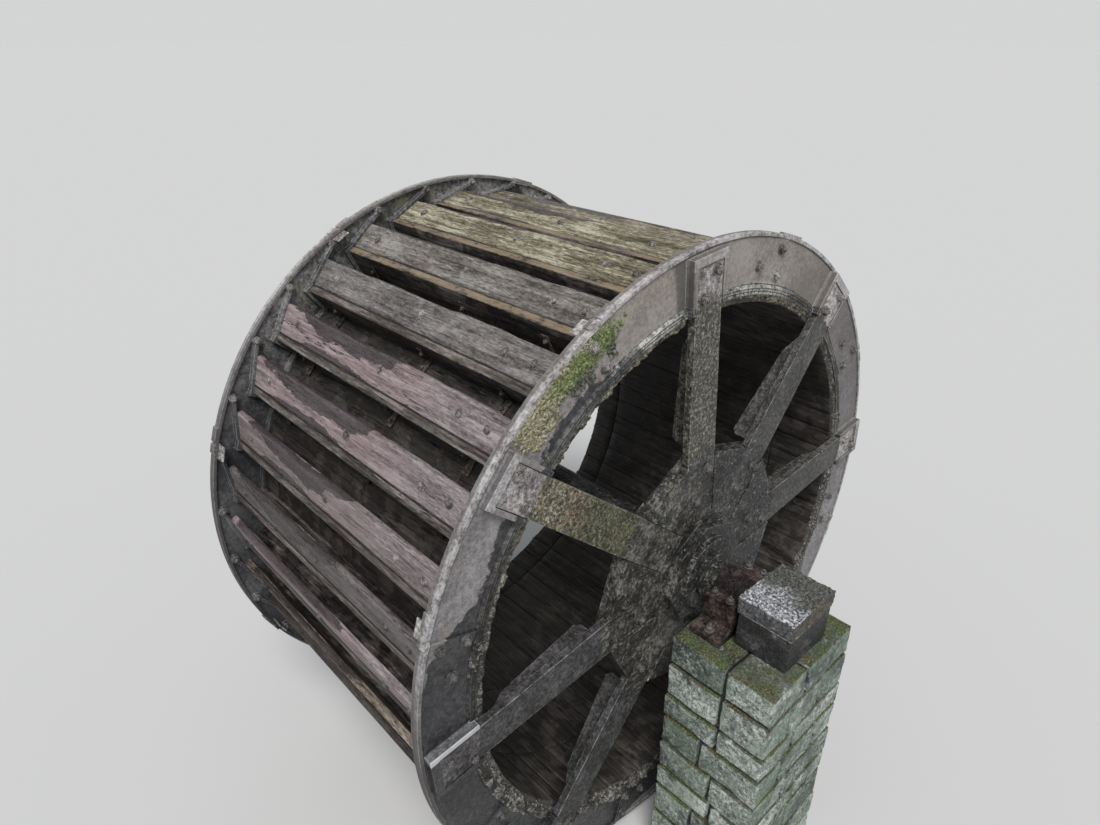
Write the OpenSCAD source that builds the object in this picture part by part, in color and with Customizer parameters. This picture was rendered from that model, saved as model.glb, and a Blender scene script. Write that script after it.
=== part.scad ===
// Overshot water wheel on two masonry piers.
// The wheel turns about the Y axis, its mid plane is Y = 0 and the ground is Z = 0.

/* [Wheel] */
// Outer diameter of the shroud rings
wheel_d = 4000; // [3200:10:4800]
// Width over the outer faces of the two shroud rings
wheel_w = 2300; // [1600:10:3000]
// Height of the lowest point of the wheel above the ground
ground_gap = 100; // [60:5:300]
// Buckets in each sector between two arms
buckets_per_sector = 4; // [3:1:5]
// Direction of the first arm, measured from +X towards +Z
arm_start_deg = 5; // [0:0.5:20]
// Angle from an arm to the tip of the next bucket board
tip_offset_deg = 3.9; // [3:0.1:4.5]

/* [Shroud rings] */
// Radial depth of a ring
ring_depth = 330; // [280:5:380]
// Thickness of the ring plate
ring_plate_t = 22; // [16:1:30]
// Depth of the plate's outer face below the edge of the rim
ring_recess = 8; // [4:1:14]
// Width of the rim flange across the wheel
rim_flange_w = 50; // [40:1:64]
// Thickness of the rim flange and of the flange under the sole
flange_t = 20; // [14:1:26]
// Width of the inner flange that the sole boards lie against
sole_flange_w = 64; // [50:1:80]
// Width of the raised band along the inner edge of the plate
inner_band_w = 52; // [40:1:64]
// Height of the raised band over the plate
band_h = 14; // [8:1:18]
// Length of the wedge that thickens the plate at each joint between two segments
lap_l = 130; // [90:1:160]
// Height of that wedge at the joint
lap_h = 12; // [8:1:16]
// Length of the pad on the rim before each joint
rim_pad_l = 94; // [70:1:130]
// Length of the lug on the rim at each end of a segment
rim_lug_l = 28; // [16:1:36]
// Gap between a lug and the pad before it
rim_pad_gap = 18; // [10:1:30]
// Height of the pads and lugs over the rim
rim_pad_h = 9; // [5:1:14]
// Gap between two neighbouring segments of a ring
segment_gap = 0.8; // [0.5:0.1:0.9]

/* [Buckets] */
// Depth of a board's tip below the rim
tip_drop = 90; // [70:1:110]
// Depth of the elbow, where the two boards meet, below the rim
elbow_drop = 146; // [125:1:165]
// Angle that an outer board covers
outer_board_deg = 5.4; // [4.5:0.1:6]
// Thickness of the outer boards
outer_board_t = 45; // [30:1:55]
// Thickness of the floor boards
floor_board_t = 52; // [35:1:60]
// Width of the cast rib along each outer board
rib_w = 22; // [16:1:28]
// Height of the cast ribs over the plate's inner face
rib_h = 34; // [24:1:45]
// Distance that a rib runs on from the board's tip towards the rim
rib_reach = 118; // [90:1:125]
// Radius of the boss at a rib's outer end
rib_boss_r = 26; // [20:1:30]
// Thickness of the rib's foot outside the floor board
rib_foot_t = 13; // [9:1:18]
// Gap between a rib and the boards that it holds
rib_clear = 0.3; // [0.2:0.1:0.9]

/* [Sole] */
// Thickness of the sole boards
sole_t = 45; // [30:1:60]
// Sole boards in each sector between two arms
sole_boards_per_sector = 8; // [6:1:10]
// Gap between two sole boards
sole_gap = 2; // [1:0.5:4]
// Distance of the sole's ends below the edge of the rim
sole_end_inset = 12; // [10:1:20]

/* [Arms] */
// Width of an arm at the nave
arm_w_nave = 236; // [200:1:250]
// Width of an arm at the ring
arm_w_rim = 206; // [180:1:226]
// Thickness of an arm's front plate
arm_t = 44; // [34:1:50]
// Thickness of an arm's web
arm_web_t = 34; // [26:1:44]
// Depth of the web behind the front plate
arm_web_d = 150; // [110:1:180]
// Size of the cut at the web's corner by the nave
arm_web_cut = 30; // [20:1:50]
// Length of the web's slope towards the rim
arm_web_slope_l = 160; // [100:5:220]
// Depth that the web loses before that slope
arm_web_slope_h = 50; // [30:1:70]
// Depth of the web's blunt end at the rim
arm_web_end_h = 20; // [14:1:30]
// Gap between the web and the nave or the sole boards
arm_web_gap = 12; // [6:1:24]
// Distance from the axle to the inner end of an arm
arm_root_r = 350; // [330:1:400]
// Gap round an arm's end in its pocket
pocket_gap = 4; // [2:0.5:8]
// Width of the ribs on the two sides of a pocket
pocket_rib_w = 26; // [18:1:34]
// Width of the band that closes a pocket at the rim
pocket_band_w = 46; // [34:1:54]
// Height of the pocket's ribs over the plate
pocket_rib_h = 52; // [46:1:60]
// Distance from the plate's inner edge to the pocket's ribs
pocket_in_inset = 14; // [8:1:24]
// Distance from the rim flange to the pocket's band
pocket_out_inset = 12; // [6:1:20]

/* [Naves and axle] */
// Distance from the axle to the flat sides of a nave
nave_flat = 764; // [720:2:820]
// Thickness of a nave's plate behind the arms
nave_t = 40; // [32:1:54]
// Height of the panels between the arms over the arms' front faces
nave_panel_rise = 8; // [4:1:16]
// Gap between an arm and the panels beside it
socket_gap = 4; // [2:0.5:8]
// Distance from the axle to the flat sides of the raised middle
nave_boss_flat = 300; // [280:1:304]
// Height of the raised middle over the panels
nave_boss_h = 56; // [40:1:70]
// Radius of the round hub on both sides of a nave
hub_r = 230; // [200:1:260]
// Depth of the hub behind the nave's plate
hub_d = 150; // [110:1:200]
// Height of the hub over the raised middle
hub_rise = 34; // [20:1:44]
// Radius of the axle between the naves
axle_r = 140; // [120:1:170]
// Radius of the journals
journal_r = 75; // [60:0.5:85]
// Radius of the collar inside each bearing
collar_r = 98; // [90:1:110]
// Distance from the hub's face to the shoulder of the axle
neck_off = 30; // [20:1:50]
// Radial clearance between journal and bearing
journal_clear = 0.05; // [0.02:0.01:0.09]

/* [Bearings] */
// Distance from the rim to the inner face of a bearing
bearing_off = 240; // [210:5:300]
// Width of a bearing along the axle
bearing_w = 200; // [160:5:240]
// Length of a bearing's foot along X
bearing_foot_l = 620; // [560:5:700]
// Thickness of the foot
bearing_foot_t = 40; // [30:1:50]
// Height of the axle over the pier
axle_rise = 180; // [165:1:220]
// Wall of the cap round the journal
cap_wall = 44; // [36:1:56]
// Distance from the axle to the cap's bolts
cap_bolt_x = 168; // [160:1:180]
// Thickness of the cap's lugs
cap_lug_t = 42; // [34:1:50]
// Distance from a bolt of the cap to the end of its lug
cap_bolt_edge = 36; // [28:1:46]
// Gap between the cap and the lower half
cap_gap = 0.3; // [0.2:0.1:0.9]
// Size of the slope between the foot and the body
bearing_fillet = 26; // [16:1:36]
// Gap between a running piece and the bearing or stone beside it
side_gap = 6; // [5:0.5:12]

/* [Stand] */
// Length of a pier along X
pier_l = 840; // [700:10:1100]
// Distance from the rim to the inner face of a pier
pier_off = 190; // [160:5:220]
// Thickness of a pier along Y
pier_w = 680; // [620:10:800]
// Batter of a pier's long faces, from top to foot
pier_batter = 40; // [0:5:80]
// Distance from the rim to the end block
block_off = 470; // [460:5:500]
// Size of the end block along X
block_l = 420; // [380:5:480]
// Size of the end block along Y
block_w = 330; // [300:5:345]
// Height of the end block's lower stone
block_h = 230; // [200:5:260]
// Thickness of the cover slab
slab_t = 112; // [80:1:140]
// Overhang of the cover slab all round
slab_over = 8; // [4:1:16]

/* [Hidden] */

// Arms on each side and segments in each ring, as many as the named pieces
arm_count = 8;
round_fn = 96;
fine_fn = 48;
eps = 1;
// Clearance between two pieces that are bolted together
seat_clear = 0.2;

rim_r = wheel_d / 2;
ring_in_r = rim_r - ring_depth;
half_w = wheel_w / 2;
axle_z = rim_r + ground_gap;
sector_deg = 360 / arm_count;
bucket_deg = sector_deg / buckets_per_sector;
plate_out_z = half_w - ring_recess;
plate_in_z = plate_out_z - ring_plate_t;

tip_r = rim_r - tip_drop;
elbow_r = rim_r - elbow_drop;
// The tip of an outer board, seen from the elbow with X along the radius there
tip_x = tip_r * cos(outer_board_deg);
tip_y = -tip_r * sin(outer_board_deg);
board_w = sqrt(pow(tip_x - elbow_r, 2) + pow(tip_y, 2));
board_slope = atan2(tip_x - elbow_r, -tip_y);

sole_deg = sector_deg / sole_boards_per_sector;
sole_corner_r = ring_in_r - seat_clear;
sole_side_deg = sole_deg / 2 - asin(sole_gap / 2 / sole_corner_r);
sole_face_r = sole_corner_r * cos(sole_side_deg);
sole_len = wheel_w - 2 * sole_end_inset;

pocket_in_r = ring_in_r + pocket_in_inset;
pocket_out_r = rim_r - flange_t - pocket_out_inset;
arm_end_r = pocket_out_r - pocket_band_w - pocket_gap;
arm_web_end_r = sole_face_r - sole_t - 2 * arm_web_gap;
nave_corner_r = nave_flat / cos(sector_deg / 2);
arm_web_start_r = nave_corner_r + arm_web_gap / 2;

nave_front_z = plate_out_z;
arm_back_z = plate_out_z + seat_clear;
panel_h = arm_t + nave_panel_rise;
boss_front_z = nave_front_z + panel_h + nave_boss_h;
hub_front_z = boss_front_z + hub_rise;
bearing_in_z = half_w + bearing_off;
bearing_out_z = bearing_in_z + bearing_w;
journal_end_z = half_w + block_off - slab_over - side_gap;
pier_top_z = axle_z - axle_rise;
bore_r = journal_r + journal_clear;
cap_r = bore_r + cap_wall;

// Wheel frame to part frame: local Z runs along the axle, towards the near side
module on_axle() {
    translate([0, 0, axle_z]) rotate([90, 0, 0]) children();
}

// The far side is the near side seen in the wheel's mid plane
module side(name) {
    if (name == "near") children();
    else mirror([0, 0, 1]) children();
}

// Profile of a ring: plate, rim flange and sole flange, as radius and height
module ring_profile() {
    polygon([
        [ring_in_r, plate_out_z], [rim_r - flange_t, plate_out_z], [rim_r - flange_t, half_w],
        [rim_r, half_w], [rim_r, half_w - rim_flange_w], [rim_r - flange_t, half_w - rim_flange_w],
        [rim_r - flange_t, plate_in_z], [ring_in_r + flange_t, plate_in_z],
        [ring_in_r + flange_t, half_w - sole_flange_w], [ring_in_r, half_w - sole_flange_w]
    ]);
}

// Raised band along the plate's inner edge, with a sloping outer side
module inner_band_profile() {
    polygon([
        [ring_in_r, plate_out_z - eps], [ring_in_r + inner_band_w, plate_out_z - eps],
        [ring_in_r + inner_band_w, plate_out_z], [ring_in_r + inner_band_w - band_h, plate_out_z + band_h],
        [ring_in_r, plate_out_z + band_h]
    ]);
}

// Wedge on the plate at a segment's first end, which lies along X
module joint_wedge() {
    in_x = ring_in_r + inner_band_w - band_h;
    translate([in_x, 0, plate_out_z]) rotate([90, 0, 90]) linear_extrude(rim_r - flange_t + eps - in_x)
        polygon([[0, -eps], [0, lap_h], [lap_l, 0], [lap_l, -eps]]);
}

// Pad on the rim, at a distance from the segment's end, which lies along X
module rim_pad(start, length) {
    rotate(asin(start / rim_r)) translate([rim_r - flange_t / 2, 0, half_w - rim_flange_w])
        cube([flange_t / 2 + rim_pad_h, length, rim_flange_w]);
}

// Elbow rib on the inner face, in the frame of the elbow: along the outer board, then down the floor board
module elbow_rib() {
    translate([0, 0, plate_in_z - rib_h]) linear_extrude(rib_h + eps) {
        translate([elbow_r, 0]) rotate(-90 + board_slope)
            translate([0, rib_clear]) square([board_w + rib_reach, rib_w]);
        translate([elbow_r, 0]) rotate(-90 + board_slope)
            translate([board_w + rib_reach - rib_boss_r, rib_w / 2 + rib_clear])
                circle(rib_boss_r, $fn = fine_fn);
        translate([ring_in_r + flange_t, floor_board_t + rib_clear])
            square([elbow_r - ring_in_r - flange_t + rib_foot_t, rib_w]);
        translate([elbow_r + rib_clear, 0]) square([rib_foot_t, floor_board_t + rib_w + rib_clear]);
    }
}

// Raised frame on the outer face that holds the end of an arm, with its arm along X
module arm_pocket() {
    half_arm = arm_w_rim / 2 + pocket_gap;
    translate([0, 0, plate_out_z - eps]) linear_extrude(pocket_rib_h + eps) {
        for (s = [-1, 1])
            translate([pocket_in_r, s > 0 ? half_arm : -half_arm - pocket_rib_w])
                square([pocket_out_r - pocket_in_r, pocket_rib_w]);
        translate([pocket_out_r - pocket_band_w, -half_arm - pocket_rib_w])
            square([pocket_band_w, 2 * (half_arm + pocket_rib_w)]);
    }
}

// One segment of a ring, centred on its arm, which lies along X
module ring_segment() {
    gap_deg = asin(segment_gap / rim_r);
    edge_deg = sector_deg / 2 - gap_deg / 2;
    pocket_deg = asin((arm_w_rim / 2 + pocket_gap + pocket_rib_w / 2) / ring_in_r);
    rotate(-edge_deg)
        rotate_extrude(angle = 2 * edge_deg, $fn = round_fn * 2) ring_profile();
    for (start = [-edge_deg, pocket_deg]) rotate(start)
        rotate_extrude(angle = edge_deg - pocket_deg, $fn = round_fn * 2) inner_band_profile();
    rotate(-edge_deg) {
        joint_wedge();
        rim_pad(0, rim_lug_l);
    }
    rotate(edge_deg) mirror([0, 1, 0]) {
        rim_pad(0, rim_lug_l);
        rim_pad(rim_lug_l + rim_pad_gap, rim_pad_l);
    }
    arm_pocket();
    intersection() {
        for (k = [-1 : buckets_per_sector])
            rotate(tip_offset_deg + outer_board_deg + (k - ceil(buckets_per_sector / 2)) * bucket_deg)
                elbow_rib();
        rotate(-edge_deg) rotate_extrude(angle = 2 * edge_deg, $fn = round_fn * 2)
            translate([ring_in_r + eps, plate_in_z - rib_h - eps])
                square([ring_depth - 2 * eps, rib_h + ring_plate_t]);
    }
}

// Two neighbouring segments, for arms 2 n - 1 and 2 n
module shroud(name, n) {
    color("dimgray") on_axle() side(name)
        for (i = [2 * n - 2, 2 * n - 1]) rotate(arm_start_deg + i * sector_deg) ring_segment();
}

// An arm: a flat front plate that tapers outwards, with a web behind its middle
module arm(name, n) {
    web_back = arm_back_z - arm_web_d;
    color("darkolivegreen") on_axle() side(name) rotate(arm_start_deg + (n - 1) * sector_deg) {
        translate([0, 0, arm_back_z]) linear_extrude(arm_t) polygon([
            [arm_root_r, -arm_w_nave / 2], [nave_corner_r, -arm_w_nave / 2], [pocket_in_r, -arm_w_rim / 2],
            [arm_end_r, -arm_w_rim / 2], [arm_end_r, arm_w_rim / 2], [pocket_in_r, arm_w_rim / 2],
            [nave_corner_r, arm_w_nave / 2], [arm_root_r, arm_w_nave / 2]
        ]);
        translate([0, arm_web_t / 2, 0]) rotate([90, 0, 0]) linear_extrude(arm_web_t) polygon([
            [arm_web_start_r, arm_back_z + eps], [arm_web_start_r, web_back + arm_web_cut],
            [arm_web_start_r + arm_web_cut, web_back],
            [arm_web_end_r - arm_web_slope_l, web_back + arm_web_slope_h],
            [arm_web_end_r, arm_back_z - arm_web_end_h], [arm_web_end_r, arm_back_z + eps]
        ]);
    }
}

// Outer board of a bucket, in the frame of the elbow, cut to lie on its floor board
module outer_board() {
    in_x = -cos(board_slope) * outer_board_t;
    in_y = -sin(board_slope) * outer_board_t;
    foot_x = elbow_r - outer_board_t / cos(board_slope);
    translate([0, 0, -plate_in_z]) linear_extrude(2 * plate_in_z) polygon([
        [elbow_r, 0], [tip_x, tip_y], [tip_x + in_x, tip_y + in_y], [foot_x, 0]
    ]);
}

// Floor board of a bucket, on the radius through the elbow
module floor_board() {
    foot_r = ring_in_r + flange_t;
    translate([0, 0, -plate_in_z]) linear_extrude(2 * plate_in_z)
        translate([foot_r, 0]) square([elbow_r - foot_r, floor_board_t]);
    translate([0, 0, -half_w + sole_flange_w]) linear_extrude(wheel_w - 2 * sole_flange_w)
        translate([sole_corner_r + rib_clear, 0]) square([foot_r - sole_corner_r, floor_board_t]);
}

// The buckets of one quarter of the wheel
module quarter_buckets(n) {
    count = arm_count * buckets_per_sector / 4;
    on_axle() for (k = [(n - 1) * count : n * count - 1])
        rotate(arm_start_deg + tip_offset_deg + outer_board_deg + k * bucket_deg) children();
}

module outer_boards(n) {
    color("sienna") quarter_buckets(n) outer_board();
}

module floor_boards(n) {
    color("saddlebrown") quarter_buckets(n) floor_board();
}

// One sole board: a stave with radial sides, its flat outer face against the ring's inner flange
module sole_board() {
    inner_r = sole_face_r - sole_t;
    half_out = sole_face_r * tan(sole_side_deg);
    half_in = inner_r * tan(sole_side_deg);
    translate([0, 0, -sole_len / 2]) linear_extrude(sole_len) polygon([
        [sole_face_r, -half_out], [sole_face_r, half_out], [inner_r, half_in], [inner_r, -half_in]
    ]);
}

module sole_boards(n) {
    count = arm_count * sole_boards_per_sector / 4;
    color("peru") on_axle() for (k = [(n - 1) * count : n * count - 1])
        rotate(arm_start_deg + (k + 0.5) * sole_deg) sole_board();
}

// Nave: an eight sided casting with its corners at the arms. Sockets between raised panels hold the
// arms' inner ends, and the middle rises in two steps to the round hub.
module nave(name) {
    back_z = nave_front_z - nave_t - hub_d;
    color("darkslategray") on_axle() side(name) rotate(arm_start_deg) difference() {
        union() {
            difference() {
                translate([0, 0, nave_front_z - nave_t])
                    cylinder(r = nave_corner_r, h = nave_t + panel_h, $fn = arm_count);
                for (i = [0 : arm_count - 1]) rotate(i * sector_deg)
                    translate([arm_root_r - socket_gap, -arm_w_nave / 2 - socket_gap, nave_front_z])
                        cube([nave_corner_r, arm_w_nave + 2 * socket_gap, panel_h + eps]);
            }
            translate([0, 0, nave_front_z])
                cylinder(r = nave_boss_flat / cos(sector_deg / 2), h = panel_h + nave_boss_h, $fn = arm_count);
            translate([0, 0, back_z]) cylinder(r = hub_r, h = hub_front_z - back_z, $fn = round_fn);
        }
        translate([0, 0, back_z - eps])
            cylinder(r = axle_r, h = hub_front_z - back_z + 2 * eps, $fn = round_fn);
    }
}

// Axle: a round shaft through both naves, with collars and journals turned on its ends
module axle() {
    collar_z = bearing_in_z - side_gap;
    neck_z = hub_front_z + neck_off;
    color("dimgray") on_axle() rotate_extrude($fn = round_fn) polygon([
        [0, -journal_end_z], [journal_r, -journal_end_z], [journal_r, -collar_z], [collar_r, -collar_z],
        [collar_r, -neck_z], [axle_r, -neck_z], [axle_r, neck_z], [collar_r, neck_z],
        [collar_r, collar_z], [journal_r, collar_z], [journal_r, journal_end_z], [0, journal_end_z]
    ]);
}

// Lower half of a bearing: foot, waisted body and the lower half of the bore
module bearing(name) {
    foot = -axle_rise;
    body_half = cap_bolt_x + cap_bolt_edge;
    color("firebrick") on_axle() side(name) translate([0, 0, bearing_in_z]) difference() {
        linear_extrude(bearing_w) polygon([
            [-bearing_foot_l / 2, foot], [bearing_foot_l / 2, foot],
            [bearing_foot_l / 2, foot + bearing_foot_t], [body_half + bearing_fillet, foot + bearing_foot_t],
            [body_half, foot + bearing_foot_t + bearing_fillet], [body_half, 0],
            [-body_half, 0], [-body_half, foot + bearing_foot_t + bearing_fillet],
            [-body_half - bearing_fillet, foot + bearing_foot_t], [-bearing_foot_l / 2, foot + bearing_foot_t]
        ]);
        translate([0, 0, -eps]) cylinder(r = bore_r, h = bearing_w + 2 * eps, $fn = round_fn);
    }
}

// Cap of a bearing: the upper half of the bore, with a lug on each side for its bolts
module bearing_cap(name) {
    color("indianred") on_axle() side(name) translate([0, 0, bearing_in_z]) difference() {
        union() {
            intersection() {
                cylinder(r = cap_r, h = bearing_w, $fn = round_fn);
                translate([-cap_r, cap_gap, 0]) cube([2 * cap_r, cap_r, bearing_w]);
            }
            translate([-cap_bolt_x - cap_bolt_edge, cap_gap, 0])
                cube([2 * (cap_bolt_x + cap_bolt_edge), cap_lug_t, bearing_w]);
        }
        translate([0, 0, -eps]) cylinder(r = bore_r, h = bearing_w + 2 * eps, $fn = round_fn);
    }
}

// Places a stone of the stand by its side, its distance from the rim and its height
module stand_at(name, off, z) {
    s = name == "near" ? -1 : 1;
    translate([0, s * (half_w + off), z]) mirror([0, name == "near" ? 1 : 0, 0]) children();
}

module end_block(name) {
    color("dimgray") stand_at(name, block_off, pier_top_z)
        translate([-block_l / 2, 0, 0]) cube([block_l, block_w, block_h]);
}

module cover_slab(name) {
    color("gray") stand_at(name, block_off, pier_top_z + block_h)
        translate([-block_l / 2 - slab_over, -slab_over, 0])
            cube([block_l + 2 * slab_over, block_w + 2 * slab_over, slab_t]);
}

// Pier of coursed stone, wider at its foot
module pier(name) {
    foot_half = pier_l / 2 + pier_batter;
    color("darkgray") stand_at(name, pier_off, 0) rotate([90, 0, 0]) mirror([0, 0, 1])
        linear_extrude(pier_w) polygon([
            [-foot_half, 0], [foot_half, 0], [pier_l / 2, pier_top_z], [-pier_l / 2, pier_top_z]
        ]);
}

shroud("near", 1);  // near_shroud_1
shroud("near", 2);  // near_shroud_2
shroud("near", 3);  // near_shroud_3
shroud("near", 4);  // near_shroud_4
shroud("far", 1);  // far_shroud_1
shroud("far", 2);  // far_shroud_2
shroud("far", 3);  // far_shroud_3
shroud("far", 4);  // far_shroud_4
arm("near", 1);  // near_arm_1
arm("near", 2);  // near_arm_2
arm("near", 3);  // near_arm_3
arm("near", 4);  // near_arm_4
arm("near", 5);  // near_arm_5
arm("near", 6);  // near_arm_6
arm("near", 7);  // near_arm_7
arm("near", 8);  // near_arm_8
arm("far", 1);  // far_arm_1
arm("far", 2);  // far_arm_2
arm("far", 3);  // far_arm_3
arm("far", 4);  // far_arm_4
arm("far", 5);  // far_arm_5
arm("far", 6);  // far_arm_6
arm("far", 7);  // far_arm_7
arm("far", 8);  // far_arm_8
outer_boards(1);  // outer_boards_1
outer_boards(2);  // outer_boards_2
outer_boards(3);  // outer_boards_3
outer_boards(4);  // outer_boards_4
floor_boards(1);  // floor_boards_1
floor_boards(2);  // floor_boards_2
floor_boards(3);  // floor_boards_3
floor_boards(4);  // floor_boards_4
sole_boards(1);  // sole_boards_1
sole_boards(2);  // sole_boards_2
sole_boards(3);  // sole_boards_3
sole_boards(4);  // sole_boards_4
nave("near");  // near_nave
nave("far");  // far_nave
axle();
bearing("near");  // near_bearing
bearing_cap("near");  // near_bearing_cap
end_block("near");  // near_end_block
cover_slab("near");  // near_cover_slab
pier("near");  // near_pier
bearing("far");  // far_bearing
bearing_cap("far");  // far_bearing_cap
end_block("far");  // far_end_block
cover_slab("far");  // far_cover_slab
pier("far");  // far_pier
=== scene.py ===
import math
import random

import bmesh
import bpy
from mathutils import Matrix, Vector, noise


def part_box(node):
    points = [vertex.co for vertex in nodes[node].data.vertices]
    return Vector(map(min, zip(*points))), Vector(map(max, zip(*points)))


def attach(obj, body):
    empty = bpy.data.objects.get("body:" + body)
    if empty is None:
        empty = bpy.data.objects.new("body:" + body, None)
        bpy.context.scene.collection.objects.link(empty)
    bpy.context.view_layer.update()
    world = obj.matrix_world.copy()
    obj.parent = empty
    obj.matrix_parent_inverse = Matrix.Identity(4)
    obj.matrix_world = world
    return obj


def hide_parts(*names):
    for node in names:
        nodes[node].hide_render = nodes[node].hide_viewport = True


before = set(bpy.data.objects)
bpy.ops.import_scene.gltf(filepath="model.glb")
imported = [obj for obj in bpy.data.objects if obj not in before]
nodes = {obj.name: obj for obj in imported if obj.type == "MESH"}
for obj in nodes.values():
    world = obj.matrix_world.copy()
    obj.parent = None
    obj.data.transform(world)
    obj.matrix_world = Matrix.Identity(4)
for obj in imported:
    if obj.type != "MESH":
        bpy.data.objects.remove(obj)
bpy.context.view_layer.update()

# Camera: above and to the left of the wheel's near side, with the place and focal length that a camera
# fit to the two rims and the ends of the boards gives.
PHOTO_W = 1100
FOCAL_PX = 749.5
SENSOR_W = 36.0
CAMERA_AZIMUTH = math.radians(-43.17)
CAMERA_ELEVATION = math.radians(27.35)
CAMERA_PLACE = (-3.134, -3.222, 5.026)
CAMERA_REACH = 500

camera_data = bpy.data.cameras.new("camera")
camera_data.sensor_fit = "HORIZONTAL"
camera_data.sensor_width = SENSOR_W
camera_data.lens = FOCAL_PX / PHOTO_W * SENSOR_W
camera_data.clip_end = CAMERA_REACH
camera = bpy.data.objects.new("camera", camera_data)
bpy.context.scene.collection.objects.link(camera)
camera.location = CAMERA_PLACE
camera.rotation_euler = (math.pi / 2 - CAMERA_ELEVATION, 0, CAMERA_AZIMUTH)
bpy.context.scene.camera = camera
bpy.context.scene.view_settings.view_transform = "Standard"

# Light and floor: an even sky, one broad soft lamp high on the left of the camera, and a plain pale
# floor that runs out to a background of its own colour.
SKY_COLOR = (0.92, 0.96, 1.0, 1)
SKY_LIGHT = 0.40
BACKGROUND_COLOR = (0.657, 0.660, 0.661, 1)
LAMP_FROM = Vector((-0.45, -0.50, 0.95))
LAMP_COLOR = (1.0, 0.985, 0.965)
LAMP_LIGHT = 2.75
LAMP_SPREAD = math.radians(26)
FLOOR_HALF = 240.0
FLOOR_DROP = 0.001
FLOOR_COLOR = (0.607, 0.607, 0.607, 1)


class Value:
    """A number, colour or direction that a node puts out. Sums of values add the nodes that work them out."""

    def __init__(self, socket):
        self.socket, self.tree = socket, socket.id_data

    def __add__(self, other):
        return calc("ADD", self, other)

    def __sub__(self, other):
        return calc("SUBTRACT", self, other)

    def __rsub__(self, other):
        return calc("SUBTRACT", other, self)

    def __mul__(self, other):
        return calc("MULTIPLY", self, other)

    def __abs__(self):
        return calc("ABSOLUTE", self)


class Outputs:
    """All that a node puts out, each a value found by name or number."""

    def __init__(self, node):
        self.node = node

    def __getitem__(self, key):
        return Value(self.node.outputs[key])


def add_node(kind, inputs, tree=None, **settings):
    """Adds a node to the tree, or else to that of the values among its inputs."""
    if tree is None:
        tree = next(value.tree for value in inputs.values() if isinstance(value, Value))
    node = tree.nodes.new(kind)
    for key, value in settings.items():
        setattr(node, key, value)
    for key, value in inputs.items():
        socket = node.inputs[key]
        if isinstance(value, Value):
            tree.links.new(value.socket, socket)
        elif socket.type == "RGBA" and len(value) == 3:
            socket.default_value = (*value, 1)
        else:
            socket.default_value = value
    return Outputs(node)


def calc(operation, *values, **settings):
    return add_node("ShaderNodeMath", dict(enumerate(values)), operation=operation, **settings)[0]


world = bpy.data.worlds.new("sky")
bpy.context.scene.world = world
world.use_nodes = True
world.node_tree.nodes.clear()
lit = add_node("ShaderNodeBackground", {"Color": SKY_COLOR, "Strength": SKY_LIGHT}, world.node_tree)[0]
seen = add_node("ShaderNodeBackground", {"Color": BACKGROUND_COLOR, "Strength": 1}, world.node_tree)[0]
ray = add_node("ShaderNodeLightPath", {}, world.node_tree)
direct = calc("ADD", ray["Is Camera Ray"] + ray["Is Glossy Ray"], ray["Is Transmission Ray"], use_clamp=True)
sky = add_node("ShaderNodeMixShader", {0: direct, 1: lit, 2: seen})[0]
add_node("ShaderNodeOutputWorld", {"Surface": sky})

lamp_data = bpy.data.lights.new("lamp", "SUN")
lamp_data.energy = LAMP_LIGHT
lamp_data.angle = LAMP_SPREAD
lamp_data.color = LAMP_COLOR
lamp = bpy.data.objects.new("lamp", lamp_data)
bpy.context.scene.collection.objects.link(lamp)
lamp.rotation_euler = LAMP_FROM.to_track_quat("Z", "Y").to_euler()

floor_mesh = bpy.data.meshes.new("floor")
corners = [(x * FLOOR_HALF, y * FLOOR_HALF, -FLOOR_DROP) for x, y in ((-1, -1), (1, -1), (1, 1), (-1, 1))]
floor_mesh.from_pydata(corners, [], [(0, 1, 2, 3)])
floor = bpy.data.objects.new("floor", floor_mesh)
bpy.context.scene.collection.objects.link(floor)
floor_material = bpy.data.materials.new("floor_paint")
floor_material.use_nodes = True
shader = floor_material.node_tree.nodes["Principled BSDF"]
shader.inputs["Base Color"].default_value = FLOOR_COLOR
shader.inputs["Roughness"].default_value = 0.95
shader.inputs["Specular IOR Level"].default_value = 0.1
floor_mesh.materials.append(floor_material)

# Piers: two stacks of squared stones in courses, bedded in mortar, that carry the bearings. Their tops
# are damp, with a skin of moss, and their joints are open a finger's width.
PIER_HALF_X, PIER_HALF_Y, PIER_BATTER, PIER_TOP = 0.42, 0.34, 0.04, 1.92
PIER_MID_Y = 1.68
COURSE_COUNT = 9
JOINT_W = 0.014
STONE_EDGE, STONE_STEP = 0.016, 0.045
MORTAR_BACK = 0.022
DOWN = 1e-4


def new_group(name, inputs, outputs):
    """Opens a shader node group. inputs gives the usual value of each, or None for a place."""
    tree = bpy.data.node_groups.new(name, "ShaderNodeTree")
    for key, value in inputs.items():
        kind = "Vector" if value is None else "Color" if isinstance(value, tuple) else "Float"
        socket = tree.interface.new_socket(key, in_out="INPUT", socket_type="NodeSocket" + kind)
        if value is not None:
            socket.default_value = value
    for key in outputs:
        kind = {"Color": "Color", "Normal": "Vector"}.get(key, "Float")
        tree.interface.new_socket(key, in_out="OUTPUT", socket_type="NodeSocket" + kind)
    return tree, Outputs(tree.nodes.new("NodeGroupInput"))


def use_group(group, **inputs):
    return add_node("ShaderNodeGroup", inputs, node_tree=group)


def ramp(value, low, high, out_low=0, out_high=1):
    """Goes smoothly from out_low to out_high while the value goes from low to high."""
    return add_node("ShaderNodeMapRange", {
        "Value": value, "From Min": low, "From Max": high, "To Min": out_low, "To Max": out_high,
    }, interpolation_type="SMOOTHSTEP")["Result"]


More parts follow.
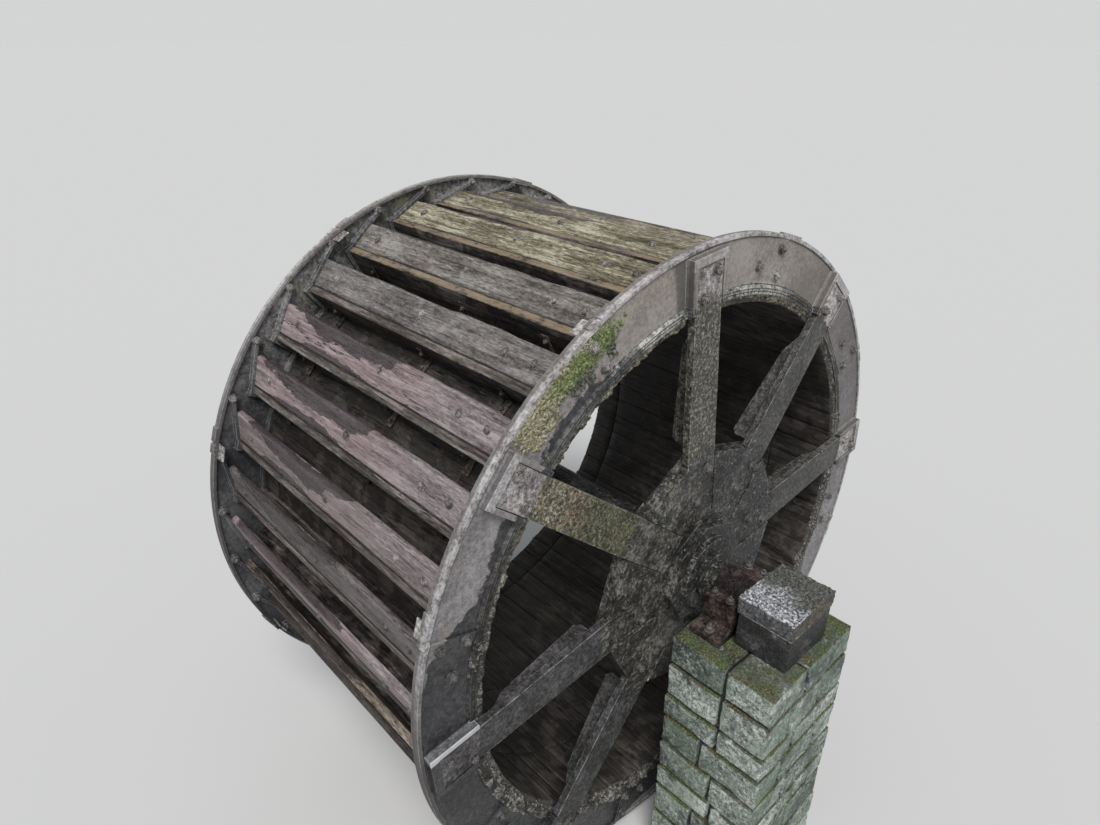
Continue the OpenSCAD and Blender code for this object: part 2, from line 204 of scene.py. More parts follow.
def around(value, middle, outer, inner, out_low=0, out_high=1):
    """Is out_high where the value is within inner of the middle, and out_low beyond outer."""
    return ramp(abs(value - middle), outer, inner, out_low, out_high)


def cloud(vector, scale, detail, roughness):
    return add_node("ShaderNodeTexNoise", {
        "Vector": vector, "Scale": scale, "Detail": detail, "Roughness": roughness})["Fac"]


def split(vector):
    return add_node("ShaderNodeSeparateXYZ", {0: vector})


def surface_facing(place):
    """Which way the surface faces, along X, Y and Z."""
    return split(add_node("ShaderNodeNewGeometry", {}, place.tree)["Normal"])


def attribute(place, name):
    return add_node("ShaderNodeAttribute", {}, place.tree, attribute_name=name)


def lay(under, over, mask, share=None, kind="MIX"):
    """Lays one colour over another as far as the mask says, and at most by the share."""
    factor = mask if share is None else mask * share
    return add_node("ShaderNodeMix", {0: factor, 6: under, 7: over}, data_type="RGBA", blend_type=kind)[2]


def tone_color(tone, dark, middle, pale):
    """Three tones of one surface: dark hollows, the middle and pale high spots."""
    return lay(lay(dark, middle, ramp(tone, 0.41, 0.495)), pale, ramp(tone, 0.505, 0.60))


def mix_tones(first, second, share=0.5, gain=1.4):
    """Two tones as one, with the contrast that mixing takes from them given back."""
    return first * (share * gain) + second * ((1 - share) * gain) + (1 - gain) / 2


def new_material(name):
    """Opens a material, and gives it with the place of a point in the part's frame."""
    material = bpy.data.materials.new(name)
    material.use_nodes = True
    return material, add_node("ShaderNodeTexCoord", {}, material.node_tree)["Object"]


def finish_material(color, roughness, height, strength, depth, normal=None, shine=0.3):
    """Gives a material's shader its colour, roughness and shine, and bumps of that depth in metres."""
    bump = {"Strength": strength, "Distance": depth, "Height": height}
    if normal:
        bump["Normal"] = normal
    shader = color.tree.nodes["Principled BSDF"]
    shader.inputs["Specular IOR Level"].default_value = shine
    bumps = add_node("ShaderNodeBump", bump)[0]
    for key, value in (("Base Color", color), ("Roughness", roughness), ("Normal", bumps)):
        color.tree.links.new(value.socket, shader.inputs[key])


# Moss as a shared effect: cushions of green and straw wherever the amount is high enough
moss_group, given = new_group("moss", {"Vector": None, "Amount": 0.0, "Fresh": 0.5},
                              ("Mask", "Color", "Height"))
clump = cloud(given["Vector"], 6, 7, 0.7)
tuft = cloud(given["Vector"], 95, 6, 0.75)
mask = ramp(given["Amount"] + (tuft * 0.7 + clump), 1.28, 1.46)
green = tone_color(tuft, (0.035, 0.055, 0.02), (0.125, 0.175, 0.065), (0.3, 0.38, 0.16))
straw = tone_color(tuft, (0.05, 0.042, 0.02), (0.18, 0.16, 0.085), (0.4, 0.36, 0.22))
choice = ramp(cloud(given["Vector"], 9, 4, 0.6) + given["Fresh"], 0.85, 1.15)
add_node("NodeGroupOutput", {"Mask": mask, "Color": lay(straw, green, choice), "Height": mask * tuft})

# Worn edges and painted edge highlights as a shared effect: where the rounded normal leaves the true one, an
# edge is near
edge_group, given = new_group("worn_and_lit_edge", {"Radius": 0.006, "Vector": None}, ("Mask", "Normal"))
rounded = add_node("ShaderNodeBevel", {"Radius": given["Radius"]}, samples=4)[0]
true_normal = add_node("ShaderNodeNewGeometry", {}, edge_group)["Normal"]
agree = add_node("ShaderNodeVectorMath", {0: rounded, 1: true_normal}, operation="DOT_PRODUCT")["Value"]
broken = ramp(cloud(given["Vector"], 22, 4, 0.6), 0.36, 0.54)
add_node("NodeGroupOutput", {"Mask": ramp(agree, 0.995, 0.8) * broken, "Normal": rounded})

# Wetness as a shared effect: a film that darkens what it lies on and makes it shine
wet_group, given = new_group("wet_film", {"Color": (0.5, 0.5, 0.5, 1), "Roughness": 0.7, "Wet": 0.0,
                                          "Vector": None}, ("Color", "Roughness"))
darker = lay(given["Color"], (0.32, 0.325, 0.345), 1, kind="MULTIPLY")
film = ramp(cloud(given["Vector"], 60, 5, 0.65), 0.38, 0.62, 0.22, 0.46)
add_node("NodeGroupOutput", {
    "Color": lay(given["Color"], darker, given["Wet"]),
    "Roughness": given["Roughness"] - given["Wet"] * (given["Roughness"] - film)})


def finish_wet(place, color, roughness, wet, height, strength, depth, normal=None, shine=0.3, moss=None):
    """Finishes a material under a film of water, and with moss on it where that is given."""
    film = use_group(wet_group, Vector=place, Color=color, Roughness=roughness, Wet=wet)
    color, roughness = film["Color"], film["Roughness"]
    if moss:
        color = lay(color, moss["Color"], moss["Mask"])
        roughness = calc("MAXIMUM", roughness, moss["Mask"])
    finish_material(color, roughness, height, strength, depth, normal, shine)


def stone_material(name, tones, tint, moss_top, wet_level, chips, shine):
    """Pocked stone in three tones, tinted in patches, with chipped edges and moss on what faces up."""
    material, place = new_material(name)
    grain = cloud(place, 46, 9, 0.8)
    own_tone = attribute(place, "number")["Fac"] * 0.12 - 0.06
    color = tone_color(mix_tones(grain, cloud(place, 5, 7, 0.68), 0.7) + own_tone, *tones)
    color = lay(color, tint, ramp(cloud(place, 3.1, 6, 0.7), 0.46, 0.6, 0, 0.55))
    color = lay(color, tones[2], ramp(cloud(place, 30, 7, 0.8), 0.56, 0.68, 0, 0.5))
    pock = add_node("ShaderNodeTexVoronoi", {"Vector": place, "Scale": chips})["Distance"]
    hole = ramp(pock, 0.06, 0.34)
    color = lay(color, tones[0], hole * -0.65 + 0.65)
    edge = use_group(edge_group, Vector=place, Radius=0.01)
    color = lay(color, tones[2], edge["Mask"], 0.55)
    top = ramp(surface_facing(place)["Z"], 0.2, 0.9)
    moss = use_group(moss_group, Vector=place, Amount=top * moss_top + 0.24, Fresh=0.5)
    wet = ramp(cloud(place, 5.3, 8, 0.75), wet_level + 0.05, wet_level - 0.05)
    height = moss["Height"] * 1.4 + (hole * 0.5 + grain)
    finish_wet(place, color, 0.8, wet, height, 1, 0.014, edge["Normal"], shine, moss)
    return material


pier_stone = stone_material("pier_stone", ((0.080, 0.096, 0.088), (0.295, 0.345, 0.305), (0.72, 0.77, 0.72)),
                            (0.190, 0.270, 0.195), 0.33, 0.43, 60.0, 0.35)
dark_stone = stone_material("block_stone", ((0.024, 0.025, 0.027), (0.112, 0.116, 0.123),
                                            (0.34, 0.34, 0.345)), (0.050, 0.052, 0.034), 0.12, 0.56, 70.0,
                            0.5)
mortar = stone_material("mortar", ((0.03, 0.03, 0.028), (0.11, 0.11, 0.10), (0.24, 0.235, 0.22)),
                        (0.07, 0.09, 0.055), 0.10, 0.5, 90.0, 0.3)


def block_lines(half, edge, step):
    inner = half - edge
    count = max(1, round(2 * inner / step))
    middle = [-inner + 2 * inner * i / count for i in range(count + 1)]
    return [-half, -half + 0.4 * edge] + middle + [half - 0.4 * edge, half]


def add_block(mesh, half, edge, steps, shape, place, tag=None, slot=0):
    """Adds a closed block with rounded edges. shape(point, outward) moves each of its points, place
    sets it in the part's frame, and tag(vertex, point) writes what its material reads."""
    lines = [block_lines(h, edge, s) for h, s in zip(half, steps)]
    made = {}

    def vertex(key):
        if key not in made:
            point = Vector(lines[a][key[a]] for a in range(3))
            core = Vector(max(edge - half[a], min(half[a] - edge, point[a])) for a in range(3))
            outward = (point - core).normalized()
            point = core + outward * edge
            made[key] = mesh.verts.new(place @ shape(point, outward))
            if tag:
                tag(made[key], point)
        return made[key]

    for a in range(3):
        b, c = (a + 1) % 3, (a + 2) % 3
        for end in (0, len(lines[a]) - 1):
            for i in range(len(lines[b]) - 1):
                for j in range(len(lines[c]) - 1):
                    ring = [(i, j), (i + 1, j), (i + 1, j + 1), (i, j + 1)]
                    if end == 0:
                        ring.reverse()
                    keys = []
                    for u, v in ring:
                        key = [0, 0, 0]
                        key[a], key[b], key[c] = end, u, v
                        keys.append(tuple(key))
                    face = mesh.faces.new([vertex(key) for key in keys])
                    face.material_index = slot
                    face.smooth = True


def number_tag(mesh, number):
    layer = mesh.verts.layers.float.get("number") or mesh.verts.layers.float.new("number")

    def tag(vertex, point):
        vertex[layer] = number
    return tag


def rough_stone(seed, amount, fine, keep_top=False):
    shift = Vector((seed * 7.3, seed * 3.1, seed * 5.7))

    def shape(point, outward):
        swell = noise.noise(point * 5 + shift) * amount
        arris = 1 - max(abs(c) for c in outward)
        chip = max(0.0, noise.noise(point * 13 + shift * 2) - 0.25) * amount * 3 * arris * 3
        grit = noise.noise(point * 60 + shift) * fine
        move = min(amount * 0.3, swell - amount * 0.6 - chip + grit)
        if keep_top and outward.z > 0.9:
            move = min(0.0, grit - fine)
        return point + outward * move
    return shape


def finish_piece(name, mesh, materials, body, replaced=()):
    data = bpy.data.meshes.new(name)
    mesh.to_mesh(data)
    mesh.free()
    for material in materials:
        data.materials.append(material)
    piece = bpy.data.objects.new(name, data)
    bpy.context.scene.collection.objects.link(piece)
    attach(piece, body)
    if replaced:
        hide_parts(*replaced)
    return piece


def split_length(total, count, jitter, chance):
    cuts = [0.0] + [(i + chance.uniform(-jitter, jitter)) * total / count for i in range(1, count)] + [total]
    return [(cuts[i], cuts[i + 1]) for i in range(count)]


def build_pier(name, middle_y, seed):
    chance = random.Random(seed)
    mesh = bmesh.new()
    core = Vector((PIER_HALF_X - MORTAR_BACK, PIER_HALF_Y - MORTAR_BACK, (PIER_TOP - MORTAR_BACK) / 2))
    add_block(mesh, core, 0.01, (0.12, 0.12, 0.12), rough_stone(seed, 0.004, 0.002),
              Matrix.Translation((0, middle_y, core.z)), slot=1)
    for course, (z0, z1) in enumerate(split_length(PIER_TOP, COURSE_COUNT, 0.22, chance)):
        share = 1 - (z0 + z1) / 2 / PIER_TOP
        half_x = PIER_HALF_X + PIER_BATTER * share
        rows = split_length(2 * PIER_HALF_Y, 2, 0.18, chance)
        for y0, y1 in rows:
            for x0, x1 in split_length(2 * half_x, 2 + (course + chance.randint(0, 1)) % 2, 0.2, chance):
                gap = JOINT_W / 2
                low = Vector((x0 - half_x + (gap if x0 > 0 else 0), y0 - PIER_HALF_Y + (gap if y0 > 0 else 0),
                              z0 + (gap if z0 > 0 else DOWN)))
                high = Vector((x1 - half_x - (gap if x1 < 2 * half_x else 0),
                               y1 - PIER_HALF_Y - (gap if y1 < 2 * PIER_HALF_Y else 0),
                               z1 - (gap if z1 < PIER_TOP else 0)))
                half, middle = (high - low) / 2, (high + low) / 2
                place = Matrix.Translation((middle.x, middle.y + middle_y, middle.z))
                flat = z0 == 0 or z1 == PIER_TOP
                add_block(mesh, half, STONE_EDGE, (STONE_STEP,) * 3,
                          rough_stone(chance.random() * 40, 0.010, 0.004, flat), place,
                          number_tag(mesh, chance.random()))
    return mesh


for side, sign, seed in (("near", -1, 11), ("far", 1, 12)):
    finish_piece(side + "_pier_stones", build_pier(side, sign * PIER_MID_Y, seed), [pier_stone, mortar],
                 "stand", [side + "_pier"])

# End blocks and cover slabs: one squared stone outside each bearing with a thicker slab bedded on it in
# pale lime. Their sides are nearly black with damp, and the slab's top is dressed rough, with a painted
# wet sheen that glitters on its left part.
BLOCK_EDGE, BLOCK_STEP, SLAB_STEP = 0.010, 0.022, 0.009
LIME_BED_HALF = Vector((0.2115, 0.1665, 0.0035))

slab_stone, place = new_material("slab_stone")
grain = cloud(place, 58, 9, 0.8)
side_tone = tone_color(grain, (0.018, 0.018, 0.02), (0.085, 0.087, 0.094), (0.27, 0.27, 0.28))
brown_tone = tone_color(grain, (0.014, 0.012, 0.009), (0.07, 0.062, 0.045), (0.2, 0.18, 0.14))
# Painted highlight: a pale sheen that glitters on the left part of the top, where the wet stone catches the
# light
painted_wet_sheen = tone_color(grain * 1.3 - 0.15, (0.026, 0.026, 0.029), (0.3, 0.315, 0.355), (0.95, 0.96, 0.98))
olive = tone_color(grain, (0.02, 0.02, 0.016), (0.074, 0.078, 0.066), (0.3, 0.3, 0.27))
top_tone = lay(painted_wet_sheen, olive, ramp(cloud(place, 7, 6, 0.7) * 0.5 + split(place)["X"], 0.14, 0.3))
facing = surface_facing(place)
top = ramp(facing["Z"], 0.35, 0.75)
# The faces towards the near side browner and darker: partly their own brown, partly painted shade
side_tone = lay(side_tone, brown_tone, ramp(facing["Y"], -0.4, -0.7))
color = lay(side_tone, top_tone, top)
edge = use_group(edge_group, Vector=place, Radius=0.008)
color = lay(color, (0.36, 0.36, 0.35), edge["Mask"], 0.6)
roughness = top * -0.28 + ramp(grain, 0.4, 0.6, 0.5, 0.72)
finish_material(color, roughness, grain, 1, 0.012, edge["Normal"], 0.5)

lime, place = new_material("lime_bed")
grain = cloud(place, 70, 6, 0.75)
color = tone_color(grain, (0.1, 0.095, 0.085), (0.34, 0.33, 0.31), (0.55, 0.54, 0.52))
finish_material(color, ramp(grain, 0.4, 0.6, 0.6, 0.9), grain, 1, 0.004)


def build_block(node, seed, swell, fine, step):
    low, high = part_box(node)
    mesh = bmesh.new()
    add_block(mesh, (high - low) / 2, BLOCK_EDGE, (step,) * 3, rough_stone(seed, swell, fine),
              Matrix.Translation((high + low) / 2))
    return mesh, low


for side, seed in (("near", 3.1), ("far", 5.2)):
    mesh, low = build_block(side + "_end_block", seed, 0.004, 0.0015, BLOCK_STEP)
    finish_piece(side + "_end_block_stone", mesh, [dark_stone], "stand", [side + "_end_block"])
    mesh, low = build_block(side + "_cover_slab", seed + 1, 0.006, 0.0075, SLAB_STEP)
    block_low, block_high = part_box(side + "_end_block")
    middle = Vector((0, (block_low.y + block_high.y) / 2, low.z))
    add_block(mesh, LIME_BED_HALF, 0.002, (0.03, 0.03, 0.004), rough_stone(seed + 2, 0.001, 0.001),
              Matrix.Translation(middle), slot=1)
    finish_piece(side + "_cover_slab_stone", mesh, [slab_stone, lime], "stand",
                 [side + "_cover_slab"])

# Bearings: cast plummer blocks with loose caps, rusted to a dark red brown. Two bolts hold each cap
# down, and one at each end of its foot holds the block to the pier.
AXLE_Z = 2.1
BEARING_MID_Y = 1.49
CAP_BOLT_X, CAP_LUG_TOP = 0.168, 0.0423
FOOT_BOLT_X, FOOT_TOP, FOOT_BOLT_SIZE = 0.262, -0.14, 1.15
BEARING_BOLT_Y = 0.052

# Casting skin as a shared effect: sand-cast pitting and slow changes of tone
skin_group, given = new_group("casting_skin", {"Vector": None, "Pits": 0.5}, ("Height", "Tone"))
broad = cloud(given["Vector"], 2.4, 6, 0.62)
middle = cloud(given["Vector"], 16, 6, 0.65)
fine = cloud(given["Vector"], 110, 4, 0.65)
lumps = cloud(given["Vector"], 46, 7, 0.7)
pit = add_node("ShaderNodeTexVoronoi", {"Vector": given["Vector"], "Scale": 55})["Distance"]
pit = (ramp(pit, 0, 0.42) - 1) * ramp(middle, 0.5, 0.62)
surface = lumps * given["Pits"] + (fine * 0.3 + middle * 0.6)
add_node("NodeGroupOutput", {
    "Height": pit * given["Pits"] + surface, "Tone": mix_tones(lumps, mix_tones(broad, fine, 0.7), 0.55)})


def new_iron(name, pits, edge_radius):
    """Opens a material of iron, and gives it with the place, the casting skin and the worn edges."""
    material, place = new_material(name)
    skin = use_group(skin_group, Vector=place, Pits=pits)
    return material, place, skin, use_group(edge_group, Vector=place, Radius=edge_radius)


def paint(names, material):
    for name in names:
        slots = nodes[name].data.materials
        slots.clear()
        slots.append(material)


bearing_iron, place, skin, edge = new_iron("bearing_iron", 0.9, 0.005)
color = tone_color(skin["Tone"], (0.009, 0.007, 0.006), (0.036, 0.025, 0.022), (0.11, 0.08, 0.07))
crust = ramp(cloud(place, 14, 7, 0.75), 0.54, 0.66)
color = lay(color, (0.07, 0.038, 0.03), crust, 0.5)
color = lay(color, (0.2, 0.17, 0.16), edge["Mask"], 0.5)
wet = ramp(cloud(place, 5.1, 5, 0.65), 0.54, 0.44)
finish_wet(place, color, 0.75, wet, skin["Height"], 1, 0.006, edge["Normal"])
paint([side + part for side in ("near_", "far_") for part in ("bearing", "bearing_cap")], bearing_iron)

# The bolts' node tree sets a washer, nut and bolt end on each point of a carrier mesh, along its axis
BOLT_SIZES = {"Washer Radius": 0.030, "Washer Height": 0.005, "Nut Radius": 0.021, "Nut Height": 0.017,
              "End Radius": 0.011, "End Height": 0.012}
WASHER_SIDES, NUT_SIDES, END_SIDES = 18, 6, 12
WASHER_SINK = 0.004

bolt_tree = bpy.data.node_groups.new("bolts", "GeometryNodeTree")
bolt_tree.interface.new_socket("Geometry", in_out="INPUT", socket_type="NodeSocketGeometry")
for key, value in BOLT_SIZES.items():
    bolt_tree.interface.new_socket(key, in_out="INPUT", socket_type="NodeSocketFloat").default_value = value
bolt_tree.interface.new_socket("Nut Sides", in_out="INPUT",
                               socket_type="NodeSocketInt").default_value = NUT_SIDES
bolt_tree.interface.new_socket("Metal", in_out="INPUT", socket_type="NodeSocketMaterial")
bolt_tree.interface.new_socket("Geometry", in_out="OUTPUT", socket_type="NodeSocketGeometry")
given = Outputs(bolt_tree.nodes.new("NodeGroupInput"))


def turned_disc(radius, top_radius, height, sides, lift):
    disc = add_node("GeometryNodeMeshCone", {
        "Vertices": sides, "Radius Bottom": radius, "Radius Top": top_radius, "Depth": height})["Mesh"]
    offset = add_node("ShaderNodeCombineXYZ", {"Z": lift}, bolt_tree)[0]
    return add_node("GeometryNodeTransform", {"Geometry": disc, "Translation": offset})[0]


def named(key, kind="FLOAT"):
    return add_node("GeometryNodeInputNamedAttribute", {"Name": key}, bolt_tree, data_type=kind)["Attribute"]


washer_r, washer_h, nut_r, nut_h, end_r, end_h = (given[key] for key in BOLT_SIZES)
nut_top = washer_h + nut_h
bolt = add_node("GeometryNodeJoinGeometry", {}, bolt_tree)
for disc in (turned_disc(washer_r, washer_r * 0.95, washer_h + WASHER_SINK, WASHER_SIDES, -WASHER_SINK),
             turned_disc(nut_r, nut_r, nut_h, given["Nut Sides"], washer_h),
             turned_disc(nut_r, nut_r * 0.78, nut_h * 0.18, given["Nut Sides"], nut_top),
             turned_disc(end_r, end_r * 0.7, end_h, END_SIDES, nut_top)):
    bolt_tree.links.new(disc.socket, bolt.node.inputs[0])
upright = add_node("FunctionNodeAlignRotationToVector", {"Vector": named("axis", "FLOAT_VECTOR")},
                   axis="Z")[0]
spin = add_node("FunctionNodeAxisAngleToRotation", {"Angle": named("turn")})[0]
turned = add_node("FunctionNodeRotateRotation", {"Rotation": upright, "Rotate By": spin},
                  rotation_space="LOCAL")[0]
placed = add_node("GeometryNodeInstanceOnPoints", {
    "Points": given["Geometry"], "Instance": bolt[0], "Rotation": turned, "Scale": named("size")})[0]
real = add_node("GeometryNodeRealizeInstances", {"Geometry": placed})[0]
coated = add_node("GeometryNodeSetMaterial", {"Geometry": real, "Material": given["Metal"]})[0]
add_node("NodeGroupOutput", {"Geometry": coated})


def add_bolts(name, spots, body, slot, metal, **sizes):
    """Makes one plain mesh of the bolts on all spots. A spot is (place, axis, turn, size)."""
    sizes = {key.replace("_", " ").title(): value for key, value in sizes.items()} | {"Metal": metal}
    data = bpy.data.meshes.new(name + "_spots")
    data.from_pydata([spot[0] for spot in spots], [], [])
    for key, kind, column, field in (("axis", "FLOAT_VECTOR", 1, "vector"), ("turn", "FLOAT", 2, "value"),
                                     ("size", "FLOAT", 3, "value")):
        layer = data.attributes.new(key, kind, "POINT")
        for item, spot in zip(layer.data, spots):
            setattr(item, field, spot[column])
    piece = bpy.data.objects.new(name, data)
    bpy.context.scene.collection.objects.link(piece)
    modifier = piece.modifiers.new("grow", "NODES")
    modifier.node_group = bolt_tree
    for item in bolt_tree.interface.items_tree:
        if item.in_out == "INPUT" and item.name in sizes:
            modifier[item.identifier] = sizes[item.name]
    bpy.context.view_layer.update()
    mesh = bpy.data.meshes.new_from_object(piece.evaluated_get(bpy.context.evaluated_depsgraph_get()))
    piece.modifiers.remove(modifier)
    piece.data = mesh
    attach(piece, body)
    return piece


# Places on the wheel as a shared effect: radius and angle round the axle, and the place along it
wheel_place, given = new_group("wheel_place", {"Vector": None}, ("Radius", "Degrees", "Across"))
along = split(given["Vector"])
rise = along["Z"] - AXLE_Z
add_node("NodeGroupOutput", {
    "Radius": calc("SQRT", rise * rise + along["X"] * along["X"]),
    "Degrees": calc("MODULO", calc("ARCTAN2", rise, along["X"]) * (180 / math.pi) + 360, 360),
    "Across": along["Y"]})


def low_half(degrees):
    """The wheel from its left side down and round to the right, faded out before the angle starts anew."""
    return ramp(degrees, 345, 318)


bolt_iron, place, skin, edge = new_iron("bolt_iron", 0.6, 0.003)
spot = use_group(wheel_place, Vector=place)
color = tone_color(skin["Tone"], (0.035, 0.031, 0.03), (0.12, 0.108, 0.102), (0.34, 0.32, 0.3))
drenched = ramp(spot["Degrees"], 156, 164) * low_half(spot["Degrees"])
drenched = calc("MAXIMUM", ramp(spot["Radius"], 1.2, 0.9), drenched)
color = lay(color, (0.035, 0.034, 0.034), drenched, 0.72)
color = lay(color, (0.5, 0.49, 0.47), edge["Mask"], 0.75)
finish_material(color, ramp(skin["Tone"], 0.3, 0.7, 0.4, 0.75), skin["Height"], 0.8, 0.003, edge["Normal"])

chance = random.Random(21)
UP = Vector((0, 0, 1))
spots = []
for side in (-1, 1):
    for x in (-CAP_BOLT_X, CAP_BOLT_X):
        for y in (-BEARING_BOLT_Y, BEARING_BOLT_Y):
            place = Vector((x, side * BEARING_MID_Y + y, AXLE_Z + CAP_LUG_TOP))
            spots.append((place, UP, chance.random(), 1.0))
    for x in (-FOOT_BOLT_X, FOOT_BOLT_X):
        place = Vector((x, side * BEARING_MID_Y, AXLE_Z + FOOT_TOP))
        spots.append((place, UP, chance.random(), FOOT_BOLT_SIZE))
add_bolts("bearing_bolts", spots, "stand", "bearing_iron", bolt_iron, washer_radius=0.027, end_height=0.020)

# Axle and naves: a round shaft through two heavy eight-sided castings with sockets for the arms, all
# dripping wet and nearly black, with thin bright lines along the edges.
def nave_color(place, skin):
    """Wet pitted iron under brown scum, paler on the left and darker on the right as painted light and shade,
    with pale specks that are partly lime and partly painted wet glints.
    """
    color = tone_color(skin["Tone"], (0.009, 0.009, 0.009), (0.042, 0.043, 0.044), (0.18, 0.18, 0.175))
    scum = ramp(cloud(place, 20, 9, 0.8), 0.5, 0.58)
    color = lay(color, (0.086, 0.077, 0.05), scum, 0.7)
    # Painted light: paler olive on the left, partly scum and partly painted light; painted shade on the right
    lit = tone_color(skin["Tone"], (0.026, 0.024, 0.02), (0.096, 0.09, 0.074), (0.28, 0.27, 0.23))
    across = split(place)["X"]
    color = lay(color, lit, ramp(across, 0.05, -0.3, 0, 0.65))
    color = lay(color, (0.012, 0.012, 0.013), ramp(across, 0.05, 0.3, 0, 0.35))
    # Pale specks: partly lime, partly painted glints of wet
    lime = ramp(cloud(place, 44, 8, 0.8), 0.57, 0.63)
    return lay(color, (0.46, 0.47, 0.46), lime, 0.85)


nave_iron, place, skin, edge = new_iron("nave_iron", 1.2, 0.008)
color = lay(nave_color(place, skin), (0.5, 0.5, 0.48), edge["Mask"], 0.7)
wet = ramp(cloud(place, 11, 8, 0.75), 0.55, 0.47)
finish_wet(place, color, 0.62, wet, skin["Height"], 1, 0.016, edge["Normal"])
paint(["near_nave", "far_nave", "axle"], nave_iron)

# Arms: cast, eight a side, flat in front with a web behind. Brown algae and olive slime cover them, and
# their outer ends, bolted down in pockets of the rings, are bare and rusty.
ARM_FRONT_Y, ARM_COUNT, ARM_START = 1.1862, 8, 5.0
SECTOR = 360 / ARM_COUNT
arm_iron, place, skin, edge = new_iron("arm_iron", 0.8, 0.008)
spot = use_group(wheel_place, Vector=place)
algae = cloud(place, 48, 8, 0.8)
slime = tone_color(algae, (0.02, 0.02, 0.017), (0.088, 0.086, 0.074), (0.34, 0.33, 0.28))
growth = tone_color(algae, (0.034, 0.031, 0.022), (0.16, 0.15, 0.112), (0.54, 0.51, 0.38))
reddish = tone_color(algae, (0.045, 0.032, 0.022), (0.185, 0.14, 0.095), (0.46, 0.38, 0.27))
growth = lay(reddish, growth, ramp(cloud(place, 7, 6, 0.7), 0.44, 0.56))
shaded = tone_color(algae, (0.016, 0.018, 0.012), (0.055, 0.06, 0.038), (0.21, 0.22, 0.14))
inner = cloud(place, 8, 6, 0.7) * 0.3 + spot["Radius"]
growth = lay(growth, shaded, ramp(inner, 1.62, 1.42, 0, 0.85))
upper_left = around(spot["Degrees"], 140, 30, 16)
slime = lay(slime, growth, upper_left)
olive = ramp(cloud(place, 42, 8, 0.8), 0.48, 0.6)
slime = lay(slime, (0.15, 0.14, 0.07), olive * (upper_left * 0.35 + 0.2))
fleck = ramp(cloud(place, 70, 6, 0.78), 0.55, 0.65)
slime = lay(slime, (0.4, 0.38, 0.31), fleck, 0.6)
low = around(spot["Degrees"], 252, 92, 76)
# Painted shade: the arms darker towards the right, in the same near-black as the wet low arms
right = ramp(split(place)["X"], 0.1, 0.5, 0, 0.65)
black = tone_color(skin["Tone"], (0.018, 0.017, 0.018), (0.047, 0.045, 0.05), (0.115, 0.112, 0.118))
slime = lay(slime, black, calc("MAXIMUM", low * 0.85, right))
bare = tone_color(skin["Tone"], (0.11, 0.098, 0.096), (0.29, 0.264, 0.262), (0.56, 0.535, 0.53))
redder = ramp(cloud(place, 24, 7, 0.75), 0.55, 0.66)
bare = lay(bare, (0.24, 0.165, 0.145), redder, 0.55)
bare = lay(bare, black, low, 0.85)
reach = cloud(place, 9, 6, 0.7) * 0.14 + spot["Radius"]
color = lay(slime, bare, ramp(reach, 1.76, 1.78))
root = ramp(reach, 0.93, 0.89)
color = lay(color, nave_color(place, skin), root)
# Pale edges: partly chalky wear, partly a painted highlight where the wet edges catch the light
color = lay(color, (0.62, 0.61, 0.58), edge["Mask"], 0.9)
wet = ramp(reach, 1.8, 1.76) * ramp(cloud(place, 12, 8, 0.75), 0.54, 0.46, 0, 0.6)
finish_wet(place, color, 0.68, wet, skin["Height"], 1, 0.009, edge["Normal"])
paint([side + "_arm_%d" % n for side in ("near", "far") for n in range(1, 9)], arm_iron)


def on_wheel(radius, degrees, y):
    angle = math.radians(degrees)
    return Vector((radius * math.cos(angle), y, AXLE_Z + radius * math.sin(angle)))


def beside(radius, degrees, offset, y):
    """A point at that radius on an arm's middle line, moved sideways by offset."""
    angle = math.radians(degrees)
    return on_wheel(radius, degrees, y) + Vector((-math.sin(angle), 0, math.cos(angle))) * offset


ARM_BOLTS = ((0.700, -0.052), (0.520, 0.048), (1.880, -0.048), (1.742, 0.056))
chance = random.Random(31)
spots = []
for side in (-1, 1):
    for arm in range(ARM_COUNT):
        for radius, offset in ARM_BOLTS:
            place = beside(radius + chance.uniform(-0.006, 0.006), ARM_START + SECTOR * arm, offset,
                           side * ARM_FRONT_Y)
            spots.append((place, Vector((0, side, 0)), chance.random() * 6, chance.uniform(0.95, 1.1)))
add_bolts("arm_bolts", spots, "wheel", "arm_iron", bolt_iron, washer_radius=0.034, nut_radius=0.025,
          nut_height=0.020, end_radius=0.013)

# Shroud rings: eight cast segments a side, bolted end to end over wedge-shaped laps. They are dry and
# grey at the rim, dark and wet towards the sole behind a wavy border, and mossy on the upper left.
RING_FACE_Y, RING_BACK_Y, POCKET_TOP_Y, RIM_R = 1.142, 1.130, 1.194, 1.980
RING_JOINT = 27.5
BAND_STEPS_R = (1.7295, 1.7070, 1.6910)
WORN_AND_LIT_POCKET, STRIP_AT = 185, 0.120

ring_iron, place, skin, edge = new_iron("ring_iron", 0.45, 0.007)
spot, tone = use_group(wheel_place, Vector=place), skin["Tone"]
radius, degrees, across = spot["Radius"], spot["Degrees"], abs(spot["Across"])
wave = cloud(place, 3.4, 7, 0.68)
lower = low_half(degrees)
near_side = ramp(spot["Across"], -1.06, -1.09)
# Painted shade, partly wet: the far ring darker on its left
far_left_wet_shade = ramp(spot["Across"], 1, 1.05) * ramp(degrees, 128, 165) * lower
rim = ramp(radius, RIM_R - 0.001, RIM_R + 0.001)
outside = calc("MAXIMUM", ramp(across, RING_BACK_Y - 0.005, RING_BACK_Y + 0.005), rim)
raised = ramp(across, POCKET_TOP_Y - 0.007, POCKET_TOP_Y - 0.003)

